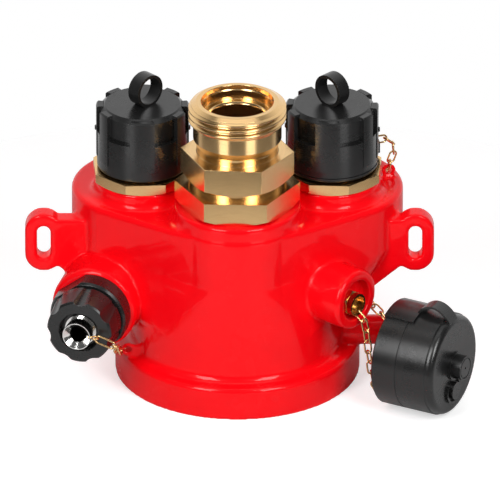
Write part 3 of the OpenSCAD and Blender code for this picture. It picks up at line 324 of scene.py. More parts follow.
def place_group(tree, make, **values):
    """Places a shared group in a material with its own values."""
    node = tree.nodes.new("ShaderNodeGroup")
    node.node_tree = shared_group(make)
    for label, value in values.items():
        node.inputs[label].default_value = value
    return node


# ------------------------------------------------------------------ materials

def new_material(name):
    """A material with its Principled shader."""
    material = bpy.data.materials.new(name)
    material.use_nodes = True
    tree = material.node_tree
    return material, tree, tree.nodes["Principled BSDF"]


def bump(tree, shader, height, distance, strength=1.0):
    """Feeds a height through a Bump node into the shader."""
    node = tree.nodes.new("ShaderNodeBump")
    node.inputs["Distance"].default_value = distance
    node.inputs["Strength"].default_value = strength
    tree.links.new(height, node.inputs["Height"])
    tree.links.new(node.outputs["Normal"], shader.inputs["Normal"])


def map_range(tree, value, low, high, start=0.3, end=0.7):
    """Maps a 0 to 1 value onto a range."""
    node = tree.nodes.new("ShaderNodeMapRange")
    node.inputs["From Min"].default_value = start
    node.inputs["From Max"].default_value = end
    node.inputs["To Min"].default_value = low
    node.inputs["To Max"].default_value = high
    tree.links.new(value, node.inputs["Value"])
    return node.outputs["Result"]


def tint(tree, factor, dark, light):
    """A colour between two colours."""
    node = tree.nodes.new("ShaderNodeMix")
    node.data_type = "RGBA"
    tree.links.new(factor, node.inputs["Factor"])
    node.inputs["A"].default_value = dark
    node.inputs["B"].default_value = light
    return node.outputs["Result"]


def scaled(color, by):
    """A colour made darker or lighter."""
    return (min(1.0, color[0] * by), min(1.0, color[1] * by), min(1.0, color[2] * by), 1.0)


def red_enamel(color):
    """Thick glossy paint over a cast skin."""
    material, tree, shader = new_material("Red Enamel")
    skin = place_group(tree, cast_skin_group, Waves=1.0, Grain=0.05)
    hand = place_group(tree, handling_group, Smudge=0.5, Scratch=0.05)
    shader.inputs["Specular IOR Level"].default_value = 0.06
    shader.inputs["Coat Weight"].default_value = 0.28
    shader.inputs["Coat Roughness"].default_value = 0.03
    tree.links.new(tint(tree, skin.outputs["Mask"], scaled(color, 0.95), scaled(color, 1.04)),
                   shader.inputs["Base Color"])
    tree.links.new(map_range(tree, hand.outputs["Roughness"], 0.18, 0.32, 0.1, 0.4),
                   shader.inputs["Roughness"])
    bump(tree, shader, skin.outputs["Height"], 0.0010, 0.3)
    return material


def turned_brass(name, color, centre, roughness=0.17):
    """Machined brass with turning marks round an upright axis."""
    material, tree, shader = new_material(name)
    marks = place_group(tree, turning_group, Centre=centre)
    hand = place_group(tree, handling_group, Smudge=0.6, Scratch=0.3)
    shader.inputs["Metallic"].default_value = 1.0
    tree.links.new(tint(tree, marks.outputs["Shade"], scaled(color, 0.92), scaled(color, 1.06)),
                   shader.inputs["Base Color"])
    tree.links.new(map_range(tree, hand.outputs["Roughness"], roughness, roughness + 0.09, 0.15, 0.5),
                   shader.inputs["Roughness"])
    bump(tree, shader, marks.outputs["Height"], 0.00001, 0.4)
    return material


def drawn_brass(color):
    """Brass wire and small brass parts."""
    material, tree, shader = new_material("Brass Wire")
    hand = place_group(tree, handling_group, Smudge=0.5, Scratch=0.3)
    shader.inputs["Metallic"].default_value = 1.0
    tree.links.new(tint(tree, hand.outputs["Roughness"], scaled(color, 0.85), scaled(color, 1.05)),
                   shader.inputs["Base Color"])
    tree.links.new(map_range(tree, hand.outputs["Roughness"], 0.16, 0.28, 0.1, 0.5),
                   shader.inputs["Roughness"])
    return material


def black_plastic(color):
    """Moulded plastic with a slight texture and handling marks."""
    material, tree, shader = new_material("Black Plastic")
    hand = place_group(tree, handling_group, Smudge=0.6, Scratch=0.25)
    skin = place_group(tree, cast_skin_group, Waves=0.5, Grain=0.12)
    tree.links.new(tint(tree, skin.outputs["Mask"], scaled(color, 0.7), scaled(color, 1.5)),
                   shader.inputs["Base Color"])
    tree.links.new(map_range(tree, hand.outputs["Roughness"], 0.20, 0.36, 0.1, 0.5),
                   shader.inputs["Roughness"])
    bump(tree, shader, skin.outputs["Height"], 0.0006, 0.3)
    return material


def plated_nickel(color):
    """Bright plating."""
    material, tree, shader = new_material("Plated Nickel")
    hand = place_group(tree, handling_group, Smudge=0.4, Scratch=0.2)
    shader.inputs["Metallic"].default_value = 1.0
    tree.links.new(tint(tree, hand.outputs["Roughness"], scaled(color, 0.93), scaled(color, 1.05)),
                   shader.inputs["Base Color"])
    tree.links.new(map_range(tree, hand.outputs["Roughness"], 0.10, 0.22, 0.1, 0.4),
                   shader.inputs["Roughness"])
    return material


def seal_rubber(color):
    """Matt rubber."""
    material, tree, shader = new_material("Seal Rubber")
    skin = place_group(tree, cast_skin_group, Waves=0.3, Grain=0.8)
    tree.links.new(tint(tree, skin.outputs["Mask"], scaled(color, 0.8), scaled(color, 1.3)),
                   shader.inputs["Base Color"])
    tree.links.new(map_range(tree, skin.outputs["Mask"], 0.6, 0.8), shader.inputs["Roughness"])
    bump(tree, shader, skin.outputs["Height"], 0.0002, 0.5)
    return material


def make_materials(finish):
    """All finishes of the object by name."""
    return {
        "enamel": red_enamel(finish.enamel),
        "outlet_brass": turned_brass("Outlet Brass", finish.brass, (OUTLET.x, OUTLET.y, 0)),
        "left_brass": turned_brass("Left Brass", finish.brass, (LEFT_CAP.x, LEFT_CAP.y, 0)),
        "right_brass": turned_brass("Right Brass", finish.brass, (RIGHT_CAP.x, RIGHT_CAP.y, 0)),
        "wire": drawn_brass(finish.brass),
        "plastic": black_plastic(finish.plastic),
        "nickel": plated_nickel(finish.nickel),
        "rubber": seal_rubber(finish.rubber),
    }


MATERIALS = {}


def finish_of(name):
    """A finish, made with all the others when it is first asked for."""
    if not MATERIALS:
        MATERIALS.update(make_materials(bpy.context.scene.connection_finish))
    return MATERIALS[name]


# ------------------------------------------------------------------ mesh helpers

def link_mesh(name, mesh, material):
    """A new object with one material, at the origin."""
    piece = bpy.data.objects.new(name, mesh)
    bpy.context.scene.collection.objects.link(piece)
    mesh.materials.clear()
    mesh.materials.append(finish_of(material))
    return piece


def shade_by_angle(mesh, degrees):
    """Smooth shading with sharp edges past an angle."""
    for face in mesh.polygons:
        face.use_smooth = True
    mesh.set_sharp_from_angle(angle=math.radians(degrees))


def evaluated_mesh(piece):
    """The mesh of an object with its modifiers, as a plain mesh."""
    graph = bpy.context.evaluated_depsgraph_get()
    return bpy.data.meshes.new_from_object(piece.evaluated_get(graph))


def apply_modifiers(piece):
    """Replaces an object's mesh by its modified one and drops the modifiers."""
    mesh = evaluated_mesh(piece)
    piece.modifiers.clear()
    old = piece.data
    piece.data = mesh
    bpy.data.meshes.remove(old)


def merged_copy(node):
    """A joined copy of a CAD node's mesh, with its flat faces made whole."""
    mesh = frame["nodes"][node].data.copy()
    work = bmesh.new()
    work.from_mesh(mesh)
    bmesh.ops.remove_doubles(work, verts=work.verts, dist=2e-6)
    bmesh.ops.dissolve_limit(work, angle_limit=math.radians(0.6), verts=work.verts, edges=work.edges)
    work.to_mesh(mesh)
    work.free()
    for layer in list(mesh.attributes):
        if layer.name == "custom_normal":
            mesh.attributes.remove(layer)
    return mesh


def dress_node(node, body, material, edge):
    """A CAD node with small rounded edges and a finish, in the node's place."""
    piece = link_mesh(node + "_dressed", merged_copy(node), material)
    finish_edges(piece, edge, 32)
    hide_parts(node)
    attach(piece, body)
    return piece


def paint_node(node, material):
    """Gives a CAD node that keeps its own mesh a finish."""
    mesh = frame["nodes"][node].data
    mesh.materials.clear()
    mesh.materials.append(finish_of(material))


# ------------------------------------------------------------------ casting

def trim_front(mesh, draw):
    """Draws the head's front wall in so that it runs straight up into the centre boss."""
    places = numpy.empty(3 * len(mesh.vertices))
    mesh.vertices.foreach_get("co", places)
    points = places.reshape(-1, 3) / MM
    side = numpy.where(points[:, 0] < 0, -1.0, 1.0)
    away = numpy.stack((side * points[:, 0], points[:, 1] - OUTLET.y / MM), axis=1)
    height = points[:, 2]
    arm = numpy.array(HEAD_ARM)
    along = numpy.clip(away @ arm / (arm @ arm), 0, 1)
    offset = away - along[:, None] * arm
    radius = numpy.maximum(numpy.hypot(offset[:, 0], offset[:, 1]), 0.001)
    depth = HEAD_FRONT_R + HEAD_END_GROWTH * along - radius
    reach = numpy.where(height > HEAD_CEILING, TOP_REACH, WALL_REACH)
    share = numpy.clip(1 - depth / reach, 0, 1) * numpy.clip((depth + 10) / 8, 0, 1)
    shift = draw / MM * (1 - along) * numpy.clip((height - FRONT_LOW) / FRONT_RISE, 0, 1) * share
    shift = numpy.where(away @ numpy.array(HEAD_SIDE) > 0, shift, 0.0)
    moved = offset / radius[:, None] * shift[:, None]
    points[:, 0] -= side * moved[:, 0]
    points[:, 1] -= moved[:, 1]
    mesh.vertices.foreach_set("co", (points * MM).ravel())
    mesh.update()


def build_casting(settings):
    """The casting: a copy of the CAD body, remeshed fine and smoothed so that its edges round off."""
    piece = link_mesh("casting_skin", merged_copy("body"), "enamel")
    remesh = piece.modifiers.new("Remesh", "REMESH")
    remesh.mode = "VOXEL"
    remesh.voxel_size = settings.grain
    apply_modifiers(piece)
    trim_front(piece.data, settings.draw)
    smooth = piece.modifiers.new("Round", "SMOOTH")
    smooth.factor = 0.5
    smooth.iterations = settings.rounding
    apply_modifiers(piece)
    count = sum(len(face.vertices) - 2 for face in piece.data.polygons)
    thin = piece.modifiers.new("Thin", "DECIMATE")
    thin.ratio = min(1.0, settings.triangles / count)
    apply_modifiers(piece)
    shade_by_angle(piece.data, 180)
    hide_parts("body")
    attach(piece, "casting")
    return piece


# ------------------------------------------------------------------ turned and milled shapes

def lathe_mesh(name, outline, x, y, count):
    """A closed turned solid from an outline in millimetres that starts and ends on the upright axis."""
    rings = [p for p in outline if p[0] > 0]
    verts, faces = [], []
    for r, z in rings:
        verts += [(x + r * MM * math.cos(t), y + r * MM * math.sin(t), z * MM)
                  for t in (2 * math.pi * k / count for k in range(count))]
    for i in range(len(rings) - 1):
        faces += [(i * count + k, i * count + (k + 1) % count, (i + 1) * count + (k + 1) % count,
                   (i + 1) * count + k) for k in range(count)]
    low, high = len(verts), len(verts) + 1
    verts += [(x, y, rings[0][1] * MM), (x, y, rings[-1][1] * MM)]
    top = (len(rings) - 1) * count
    faces += [(low, (k + 1) % count, k) for k in range(count)]
    faces += [(high, top + k, top + (k + 1) % count) for k in range(count)]
    mesh = bpy.data.meshes.new(name)
    mesh.from_pydata(verts, [], faces)
    return mesh


def nut_mesh(name, sides, corner, low, high, turn, x, y):
    """A prism with sharp upper corners and turned-off lower corners, as it is milled from bar."""
    steps = 12
    flat = corner * math.cos(math.pi / sides)
    angles = [math.radians(turn) + 2 * math.pi * (k + j / steps) / sides
              for k in range(sides) for j in range(steps)]
    rims = [flat / math.cos((j / steps - 0.5) * 2 * math.pi / sides) for j in range(steps)] * sides
    count = len(angles)

    def ring(radii, heights):
        return [(x + r * MM * math.cos(t), y + r * MM * math.sin(t), z * MM)
                for r, z, t in zip(radii, heights, angles)]

    cut = [low + (r - flat) * CORNER_CUT for r in rims]
    rings = [ring([flat - 0.3] * count, [low] * count), ring(rims, cut), ring(rims, [high] * count)]
    verts = [v for r in rings for v in r] + [(x, y, low * MM), (x, y, high * MM)]
    faces = []
    for i in range(2):
        faces += [(i * count + k, i * count + (k + 1) % count, (i + 1) * count + (k + 1) % count,
                   (i + 1) * count + k) for k in range(count)]
    faces += [(3 * count, (k + 1) % count, k) for k in range(count)]
    faces += [(3 * count + 1, 2 * count + k, 2 * count + (k + 1) % count) for k in range(count)]
    mesh = bpy.data.meshes.new(name)
    mesh.from_pydata(verts, [], faces)
    return mesh


def add_mesh(piece, extra):
    """Adds another mesh's faces to a piece's mesh."""
    work = bmesh.new()
    work.from_mesh(piece.data)
    work.from_mesh(extra)
    work.to_mesh(piece.data)
    work.free()
    bpy.data.meshes.remove(extra)


def combine(piece, other_mesh, operation):
    """Joins another solid to a piece, or cuts it away."""
    tool = bpy.data.objects.new("tool", other_mesh)
    bpy.context.scene.collection.objects.link(tool)
    step = piece.modifiers.new("Combine", "BOOLEAN")
    step.operation = operation
    step.solver = "EXACT"
    step.object = tool
    apply_modifiers(piece)
    bpy.data.meshes.remove(other_mesh)
    work = bmesh.new()
    work.from_mesh(piece.data)
    bmesh.ops.dissolve_limit(work, angle_limit=math.radians(0.5), verts=work.verts, edges=work.edges)
    work.to_mesh(piece.data)
    work.free()


def finish_edges(piece, edge, angle, crisp=31.0):
    """Rounds edges past an angle; flat faces and edges past the crisp angle stay so in the light."""
    shade_by_angle(piece.data, crisp)
    if edge:
        bevel = piece.modifiers.new("Edges", "BEVEL")
        bevel.width = edge
        bevel.segments = 2
        bevel.limit_method = "ANGLE"
        bevel.angle_limit = math.radians(angle)
        bevel.use_clamp_overlap = True
    flat = piece.modifiers.new("Flat Faces", "WEIGHTED_NORMAL")
    flat.keep_sharp = True
    apply_modifiers(piece)


# ------------------------------------------------------------------ geometry trees

def tree_with(name, inputs):
    """An empty geometry tree with named inputs, ending in Realize Instances and Set Material."""
    tree = bpy.data.node_groups.new(name, "GeometryNodeTree")
    face = tree.interface
    face.new_socket(name="Geometry", in_out="INPUT", socket_type="NodeSocketGeometry")
    for label, kind in inputs:
        face.new_socket(name=label, in_out="INPUT", socket_type="NodeSocket" + kind)
    face.new_socket(name="Material", in_out="INPUT", socket_type="NodeSocketMaterial")
    face.new_socket(name="Geometry", in_out="OUTPUT", socket_type="NodeSocketGeometry")
    inside, out = tree.nodes.new("NodeGroupInput"), tree.nodes.new("NodeGroupOutput")
    real = tree.nodes.new("GeometryNodeRealizeInstances")
    paint = tree.nodes.new("GeometryNodeSetMaterial")
    tree.links.new(real.outputs["Geometry"], paint.inputs["Geometry"])
    tree.links.new(inside.outputs["Material"], paint.inputs["Material"])
    tree.links.new(paint.outputs["Geometry"], out.inputs["Geometry"])
    return tree, inside, real


def wire_node(tree, kind, sources, values=None):
    """Adds a node, links sockets to its inputs by name and sets the others."""
    node = tree.nodes.new(kind)
    for label, value in (values or {}).items():
        if label in node.inputs:
            node.inputs[label].default_value = value
        else:
            setattr(node, label, value)
    for label, source in sources.items():
        tree.links.new(source, node.inputs[label])
    return node


def link_tree():
    """Sets a wire link on every point, turned by the points' own angles."""
    tree, inside, real = tree_with("Chain Links", [("Wire", "Float"), ("Length", "Float"), ("Width", "Float"),
                                                   ("Round", "Int"), ("Bend", "Int")])
    long = math_node(tree, "ADD", inside.outputs["Length"], inside.outputs["Wire"])
    wide = math_node(tree, "ADD", inside.outputs["Width"], inside.outputs["Wire"])
    shape = wire_node(tree, "GeometryNodeCurvePrimitiveQuadrilateral", {"Width": long, "Height": wide})
    bend = wire_node(tree, "GeometryNodeFilletCurve",
                     {"Curve": shape.outputs["Curve"], "Count": inside.outputs["Bend"],
                      "Radius": math_node(tree, "MULTIPLY", wide, 0.4999)}, {"mode": "POLY"})
    wire = wire_node(tree, "GeometryNodeCurvePrimitiveCircle",
                     {"Resolution": inside.outputs["Round"],
                      "Radius": math_node(tree, "MULTIPLY", inside.outputs["Wire"], 0.5)})
    tube = wire_node(tree, "GeometryNodeCurveToMesh",
                     {"Curve": bend.outputs["Curve"], "Profile Curve": wire.outputs["Curve"]})
    turn = wire_node(tree, "GeometryNodeInputNamedAttribute", {},
                     {"data_type": "FLOAT_VECTOR", "Name": "link_turn"})
    angle = wire_node(tree, "FunctionNodeEulerToRotation", {"Euler": turn.outputs["Attribute"]})
    every = wire_node(tree, "GeometryNodeInstanceOnPoints",
                      {"Points": inside.outputs["Geometry"], "Instance": tube.outputs["Mesh"],
                       "Rotation": angle.outputs["Rotation"]})
    tree.links.new(every.outputs["Instances"], real.inputs["Geometry"])
    return tree


def thread_tree():
    """Cuts a helical groove into an open upright tube round the origin, with flat ends."""
    tree, inside, real = tree_with("Hose Thread", [("Crest Radius", "Float"), ("Depth", "Float"),
                                                   ("Pitch", "Float"), ("Crest", "Float"),
                                                   ("Length", "Float")])
    given = inside.outputs
    place = tree.nodes.new("GeometryNodeInputPosition")
    split = wire_node(tree, "ShaderNodeSeparateXYZ", {"Vector": place.outputs["Position"]})
    x, y, z = split.outputs["X"], split.outputs["Y"], split.outputs["Z"]
    turn = math_node(tree, "DIVIDE", math_node(tree, "ARCTAN2", y, x), 2 * math.pi)
    phase = math_node(tree, "SUBTRACT", math_node(tree, "DIVIDE", z, given["Pitch"]), turn)
    away = math_node(tree, "ABSOLUTE", math_node(tree, "SUBTRACT", math_node(tree, "FRACT", phase), 0.5))
    gap = math_node(tree, "SUBTRACT", math_node(tree, "MULTIPLY", away, given["Pitch"]),
                    math_node(tree, "MULTIPLY", given["Crest"], 0.5))
    flank = math_node(tree, "DIVIDE", gap, math_node(tree, "MULTIPLY", given["Depth"], THREAD_FLANK))
    groove = math_node(tree, "MINIMUM", math_node(tree, "MAXIMUM", flank, 0.0), 1.0)
    from_end = math_node(tree, "SUBTRACT", math_node(tree, "MULTIPLY", given["Length"], 0.5),
                         math_node(tree, "ABSOLUTE", z))
    fade = math_node(tree, "MINIMUM", math_node(tree, "DIVIDE", from_end, THREAD_FADE * MM), 1.0)
    keep = math_node(tree, "SUBTRACT", 1.0, fade)
    deep = math_node(tree, "MULTIPLY", math_node(tree, "MAXIMUM", groove, keep), given["Depth"])
    radius = math_node(tree, "SUBTRACT", given["Crest Radius"], deep)
    now = math_node(tree, "SQRT", math_node(tree, "ADD", math_node(tree, "MULTIPLY", x, x),
                                            math_node(tree, "MULTIPLY", y, y)))
    scale = math_node(tree, "DIVIDE", radius, now)
    moved = wire_node(tree, "ShaderNodeCombineXYZ", {"X": math_node(tree, "MULTIPLY", x, scale),
                                                     "Y": math_node(tree, "MULTIPLY", y, scale), "Z": z})
    cut = wire_node(tree, "GeometryNodeSetPosition",
                    {"Geometry": given["Geometry"], "Position": moved.outputs["Vector"]})
    tree.links.new(cut.outputs["Geometry"], real.inputs["Geometry"])
    return tree


TREES = {}


def shared_tree(make):
    """A geometry tree, built once."""
    if make.__name__ not in TREES:
        TREES[make.__name__] = make()
    return TREES[make.__name__]


def grow(piece, make, values):
    """Runs a geometry tree on a piece and keeps its result as a plain mesh."""
    modifier = piece.modifiers.new(make.__name__, "NODES")
    modifier.node_group = shared_tree(make)
    for item in modifier.node_group.interface.items_tree:
        if item.item_type == "SOCKET" and item.in_out == "INPUT" and item.name in values:
            modifier[item.identifier] = values[item.name]
    apply_modifiers(piece)


# ------------------------------------------------------------------ chains

def islands(mesh):
    """Corner points of each separate closed shape of a mesh, in the order of the mesh."""
    work = bmesh.new()
    work.from_mesh(mesh)
    bmesh.ops.remove_doubles(work, verts=work.verts, dist=2e-6)
    work.verts.ensure_lookup_table()
    seen, groups = set(), []
    for start in work.verts:
        if start.index in seen:
            continue
        seen.add(start.index)
        front, group = [start], []
        while front:
            vert = front.pop()
            group.append(tuple(vert.co))
            for edge in vert.link_edges:
                other = edge.other_vert(vert)
                if other.index not in seen:
                    seen.add(other.index)
                    front.append(other)
        groups.append(numpy.array(group))
    work.free()
    return groups


def link_place(points):
    """Middle, turn and outer size of one link, from its long, wide and thin directions."""
    low, high = points.min(axis=0), points.max(axis=0)
    middle_point = (low + high) / 2
    thin, wide, long = (Vector(v) for v in numpy.linalg.eigh(numpy.cov((points - middle_point).T))[1].T)
    spans = []
    centre = Vector((0.0, 0.0, 0.0))
    for way in (long, wide, thin):
        along = points @ numpy.array(way)
        spans.append(float(along.max() - along.min()))
        centre += way * float(along.max() + along.min()) / 2
    up = long.cross(wide)
    return centre, Matrix((long, wide, up)).transposed().to_euler("XYZ"), spans


def link_chain(node, chain):
    """Every link of a chain node as round bent wire, at the place of the node's own link."""
    places = [link_place(group) for group in islands(frame["nodes"][node].data)]
    sizes = sorted({(round(p[2][0], 4), round(p[2][1], 4)) for p in places})
    piece = link_mesh(node + "_links", bpy.data.meshes.new(node), "wire")
    for size in sizes:
        group = [p for p in places if (round(p[2][0], 4), round(p[2][1], 4)) == size]
        mesh = bpy.data.meshes.new("points")
        mesh.from_pydata([p[0] for p in group], [], [])
        turns = mesh.attributes.new("link_turn", "FLOAT_VECTOR", "POINT")
        for k, place in enumerate(group):
            turns.data[k].vector = place[1]
        part = bpy.data.objects.new("part", mesh)
        bpy.context.scene.collection.objects.link(part)
        grow(part, link_tree, {"Wire": chain.wire, "Length": size[0] - 2 * chain.wire,
                               "Width": size[1] - 2 * chain.wire, "Round": chain.round_points,
                               "Bend": chain.bend_points, "Material": finish_of("wire")})
        add_mesh(piece, part.data)
    work = bmesh.new()
    work.from_mesh(piece.data)
    bmesh.ops.remove_doubles(work, verts=work.verts, dist=2e-6)
    bmesh.ops.recalc_face_normals(work, faces=work.faces)
    work.to_mesh(piece.data)
    work.free()
    shade_by_angle(piece.data, 60)
    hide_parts(node)
    return piece


# ------------------------------------------------------------------ outlet

def build_thread(settings, low, x, y, count):
    """The hose thread: a ring of its own round the adaptor, between the neck and the lip."""
    work = bmesh.new()
    rows = 64
    half = settings.length / 2
    reach = settings.crest_radius
    rings = []
    for i in range(rows + 1):
        z = -half + settings.length * i / rows
        rings.append([work.verts.new((reach * math.cos(t), reach * math.sin(t), z))
                      for t in (2 * math.pi * k / count for k in range(count))])
    for a, b in zip(rings, rings[1:]):
        for k in range(count):
            work.faces.new((a[k], a[(k + 1) % count], b[(k + 1) % count], b[k]))
    mesh = bpy.data.meshes.new("thread")
    work.to_mesh(mesh)
    work.free()
    part = bpy.data.objects.new("hose_thread", mesh)
    bpy.context.scene.collection.objects.link(part)
    grow(part, thread_tree, {"Crest Radius": settings.crest_radius, "Depth": settings.depth,
                             "Pitch": settings.pitch, "Crest": settings.crest, "Length": settings.length,
                             "Material": finish_of("outlet_brass")})
    work = bmesh.new()
    work.from_mesh(part.data)
    work.verts.ensure_lookup_table()
    outer = [[work.verts[row * count + k] for k in range(count)] for row in (0, rows)]
    inner = [[work.verts.new((v.co.x * THREAD_WALL, v.co.y * THREAD_WALL, v.co.z)) for v in ring]
             for ring in outer]
    for k in range(count):
        n = (k + 1) % count
        work.faces.new((outer[0][n], outer[0][k], inner[0][k], inner[0][n]))
        work.faces.new((outer[1][k], outer[1][n], inner[1][n], inner[1][k]))
        work.faces.new((inner[0][n], inner[0][k], inner[1][k], inner[1][n]))
    work.to_mesh(part.data)
    work.free()
    turn = Matrix.Rotation(math.radians(THREAD_START), 4, "Z")
    part.data.transform(Matrix.Translation((x, y, low * MM + half)) @ turn)
    shade_by_angle(part.data, 60)
    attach(part, "casting")


def build_adaptor(settings):
    """The outlet: a hexagon, a tapered root, a plain neck, the hose thread, and the stepped mouth."""
    low, high = (corner.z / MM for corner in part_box("hose_adaptor"))
    x, y = OUTLET.x, OUTLET.y
    count = 128
    hex_top = low + UPPER_NUT_HEIGHT
    neck, lip = settings.neck / MM, settings.lip / MM
    ground = (settings.crest_radius - settings.depth) / MM
    start = high - THREAD_END - settings.length / MM
    outline = [(0, hex_top - 3), (neck - ROOT, hex_top - 3), (neck - ROOT, hex_top + 5.3),
               (neck - ROOT + 0.4, hex_top + 7.3), (neck, hex_top + 11.8), (neck, start - 1.6),
               (ground, start - 0.2), (ground, high - LIP_HEIGHT), (lip - 3.9, high), (0, high)]
    piece = link_mesh("hose_adaptor_turned", lathe_mesh("adaptor", outline, x, y, count), "outlet_brass")
    build_thread(settings, start, x, y, count)
    blank = nut_mesh("blank", 6, UPPER_NUT_CORNER, low, hex_top, UPPER_NUT_TURN, x, y)
    combine(piece, blank, "UNION")
    seat = low + SPIGOT_DEPTH
    mouth = settings.mouth / MM
    bore = [(0, low - 1), (SPIGOT_BORE, low - 1), (SPIGOT_BORE, seat), (WATERWAY, seat),
            (WATERWAY, high - 13.6), (WATERWAY + 1.4, high - 12.2), (mouth, high - 12),
            (mouth, high - 4.2), (mouth + 0.5, high - 3.8), (mouth + 0.9, high + 0.1),
            (mouth + 0.9, high + 1), (0, high + 1)]
    combine(piece, lathe_mesh("bore", bore, x, y, count), "DIFFERENCE")
    finish_edges(piece, 0.35 * MM, 28, 20)
    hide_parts("hose_adaptor")
    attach(piece, "casting")
    return piece


def build_nipple(node, material, sides, corner, height, turn, edge):
    """A nipple whose collar has sharp upper corners, as it is milled from bar."""
    low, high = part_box(node)
    x, y = (low.x + high.x) / 2, (low.y + high.y) / 2
    base, top = COLLAR_SEAT, COLLAR_SEAT + height
    piece = link_mesh(node + "_milled", merged_copy(node), material)
    blank = nut_mesh("blank", sides, corner + 2 * FIT, base + FIT, top - FIT, turn, x, y)
    ring_tool = bpy.data.objects.new("ring", blank)
    bpy.context.scene.collection.objects.link(ring_tool)
    hollow = lathe_mesh("hollow", [(0, base - 1), (COLLAR_BORE, base - 1), (COLLAR_BORE, top + 1),
                                   (0, top + 1)], x, y, 96)
    combine(ring_tool, hollow, "DIFFERENCE")
    ring = ring_tool.data.copy()
    bpy.data.objects.remove(ring_tool)
    combine(piece, ring, "UNION")
    finish_edges(piece, edge, 32, 22)
    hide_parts(node)
    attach(piece, "casting")
    return piece


# ------------------------------------------------------------------ stage

def add_camera(stage):
    """A camera with a long lens, looking down at the front."""
    data = bpy.data.cameras.new("Camera")
    data.sensor_width = 36.0
    data.lens = data.sensor_width * stage.distance / stage.view_width
    data.clip_end = 2 * stage.distance
    camera = bpy.data.objects.new("Camera", data)
    aim = Vector((stage.aim_x, 0.0, stage.aim_z))
    back = Vector((0.0, -math.cos(stage.elevation), math.sin(stage.elevation)))
    camera.location = aim + stage.distance * back
    camera.rotation_euler = back.to_track_quat("Z", "Y").to_euler()
    bpy.context.scene.collection.objects.link(camera)
    bpy.context.scene.camera = camera


def direction_ramp(tree, way, start, end):
    """Rises from 0 to 1 as the world's direction turns towards a way."""
    look = tree.nodes.new("ShaderNodeTexCoord")
    dot = tree.nodes.new("ShaderNodeVectorMath")
    dot.operation = "DOT_PRODUCT"
    tree.links.new(look.outputs["Generated"], dot.inputs[0])
    dot.inputs[1].default_value = way
    return map_range(tree, dot.outputs["Value"], 0.0, 1.0, start, end)


def add_world(stage):
    """A dark room with a white wall behind; what shows behind the object is white from every side."""
    world = bpy.data.worlds.new("Studio")
    world.use_nodes = True
    bpy.context.scene.world = world
    tree = world.node_tree
    room = tree.nodes["Background"]
    behind = direction_ramp(tree, (0.0, 1.0, 0.0), 0.15, 0.75)
    level = math_node(tree, "MULTIPLY_ADD", behind, stage.wall - stage.room, stage.room)
    room.inputs["Color"].default_value = (1, 1, 1, 1)
    tree.links.new(level, room.inputs["Strength"])
    white = tree.nodes.new("ShaderNodeBackground")
    white.inputs["Color"].default_value = (1, 1, 1, 1)
    path = tree.nodes.new("ShaderNodeLightPath")
    mirrored = math_node(tree, "MULTIPLY", path.outputs["Is Glossy Ray"], behind)
    direct = math_node(tree, "MAXIMUM", path.outputs["Is Camera Ray"], path.outputs["Is Transmission Ray"])
    mix = tree.nodes.new("ShaderNodeMixShader")
    tree.links.new(math_node(tree, "MAXIMUM", direct, mirrored), mix.inputs["Fac"])
    tree.links.new(room.outputs["Background"], mix.inputs[1])
    tree.links.new(white.outputs["Background"], mix.inputs[2])
    tree.links.new(mix.outputs["Shader"], tree.nodes["World Output"].inputs["Surface"])


LAMP_AIM = Vector((0.0, 0.0, 0.12))
# Name, degrees sideways and up from the front, distance, width and height in metres, glow.
LAMPS = (
    ("Left Box", -34, 34, 1.1, (0.34, 0.66), 12.0),
    ("Left Low Box", -34, -27, 1.2, (0.46, 0.60), 2.2),
    ("Right Box", 34, 34, 1.1, (0.34, 0.66), 12.0),
    ("Right Low Box", 34, -27, 1.2, (0.46, 0.60), 2.2),
    ("Top Box", 0, 86, 1.1, (0.9, 0.5), 1.2),
)


def add_lamp(name, turn, height, distance, size, glow):
    """A rectangular soft box, turned from straight ahead and raised, facing the object."""
    turn, height = math.radians(turn), math.radians(height)
    way = Vector((math.sin(turn) * math.cos(height), -math.cos(turn) * math.cos(height), math.sin(height)))
    data = bpy.data.lights.new(name, "AREA")
    data.shape = "RECTANGLE"
    data.size, data.size_y = size
    data.energy = glow * math.pi * size[0] * size[1]
    lamp = bpy.data.objects.new(name, data)
    lamp.location = LAMP_AIM + distance * way
    lamp.rotation_euler = way.to_track_quat("Z", "Y").to_euler()
    bpy.context.scene.collection.objects.link(lamp)


def add_lamps(stage):
    """Two tall soft boxes at the front, one overhead, and two low ones past the table's edge."""
    for name, turn, height, distance, size, glow in LAMPS:
        add_lamp(name, turn, height, distance, size, glow * stage.lamp)


def add_floor(stage):
    """A round pale table top that keeps the object's shadow and ends in the white behind it."""
    work = bmesh.new()
    bmesh.ops.create_circle(work, cap_ends=True, radius=stage.table, segments=96)
    mesh = bpy.data.meshes.new("floor")
    work.to_mesh(mesh)
    work.free()
    floor = bpy.data.objects.new("floor", mesh)
    floor.location = (0.0, 0.0, CAD_BOX[0][2])
    bpy.context.scene.collection.objects.link(floor)
    material, tree, shader = new_material("Floor")
    shader.inputs["Base Color"].default_value = (0.62, 0.62, 0.62, 1)
    shader.inputs["Roughness"].default_value = 0.7
    path = tree.nodes.new("ShaderNodeLightPath")
    glow = tree.nodes.new("ShaderNodeEmission")
    tree.links.new(math_node(tree, "MULTIPLY", path.outputs["Is Camera Ray"], stage.veil),
                   glow.inputs["Strength"])
    both = tree.nodes.new("ShaderNodeAddShader")
    tree.links.new(shader.outputs["BSDF"], both.inputs[0])
    tree.links.new(glow.outputs["Emission"], both.inputs[1])
    tree.links.new(both.outputs["Shader"], tree.nodes["Material Output"].inputs["Surface"])
    mesh.materials.append(material)


# ------------------------------------------------------------------ operators

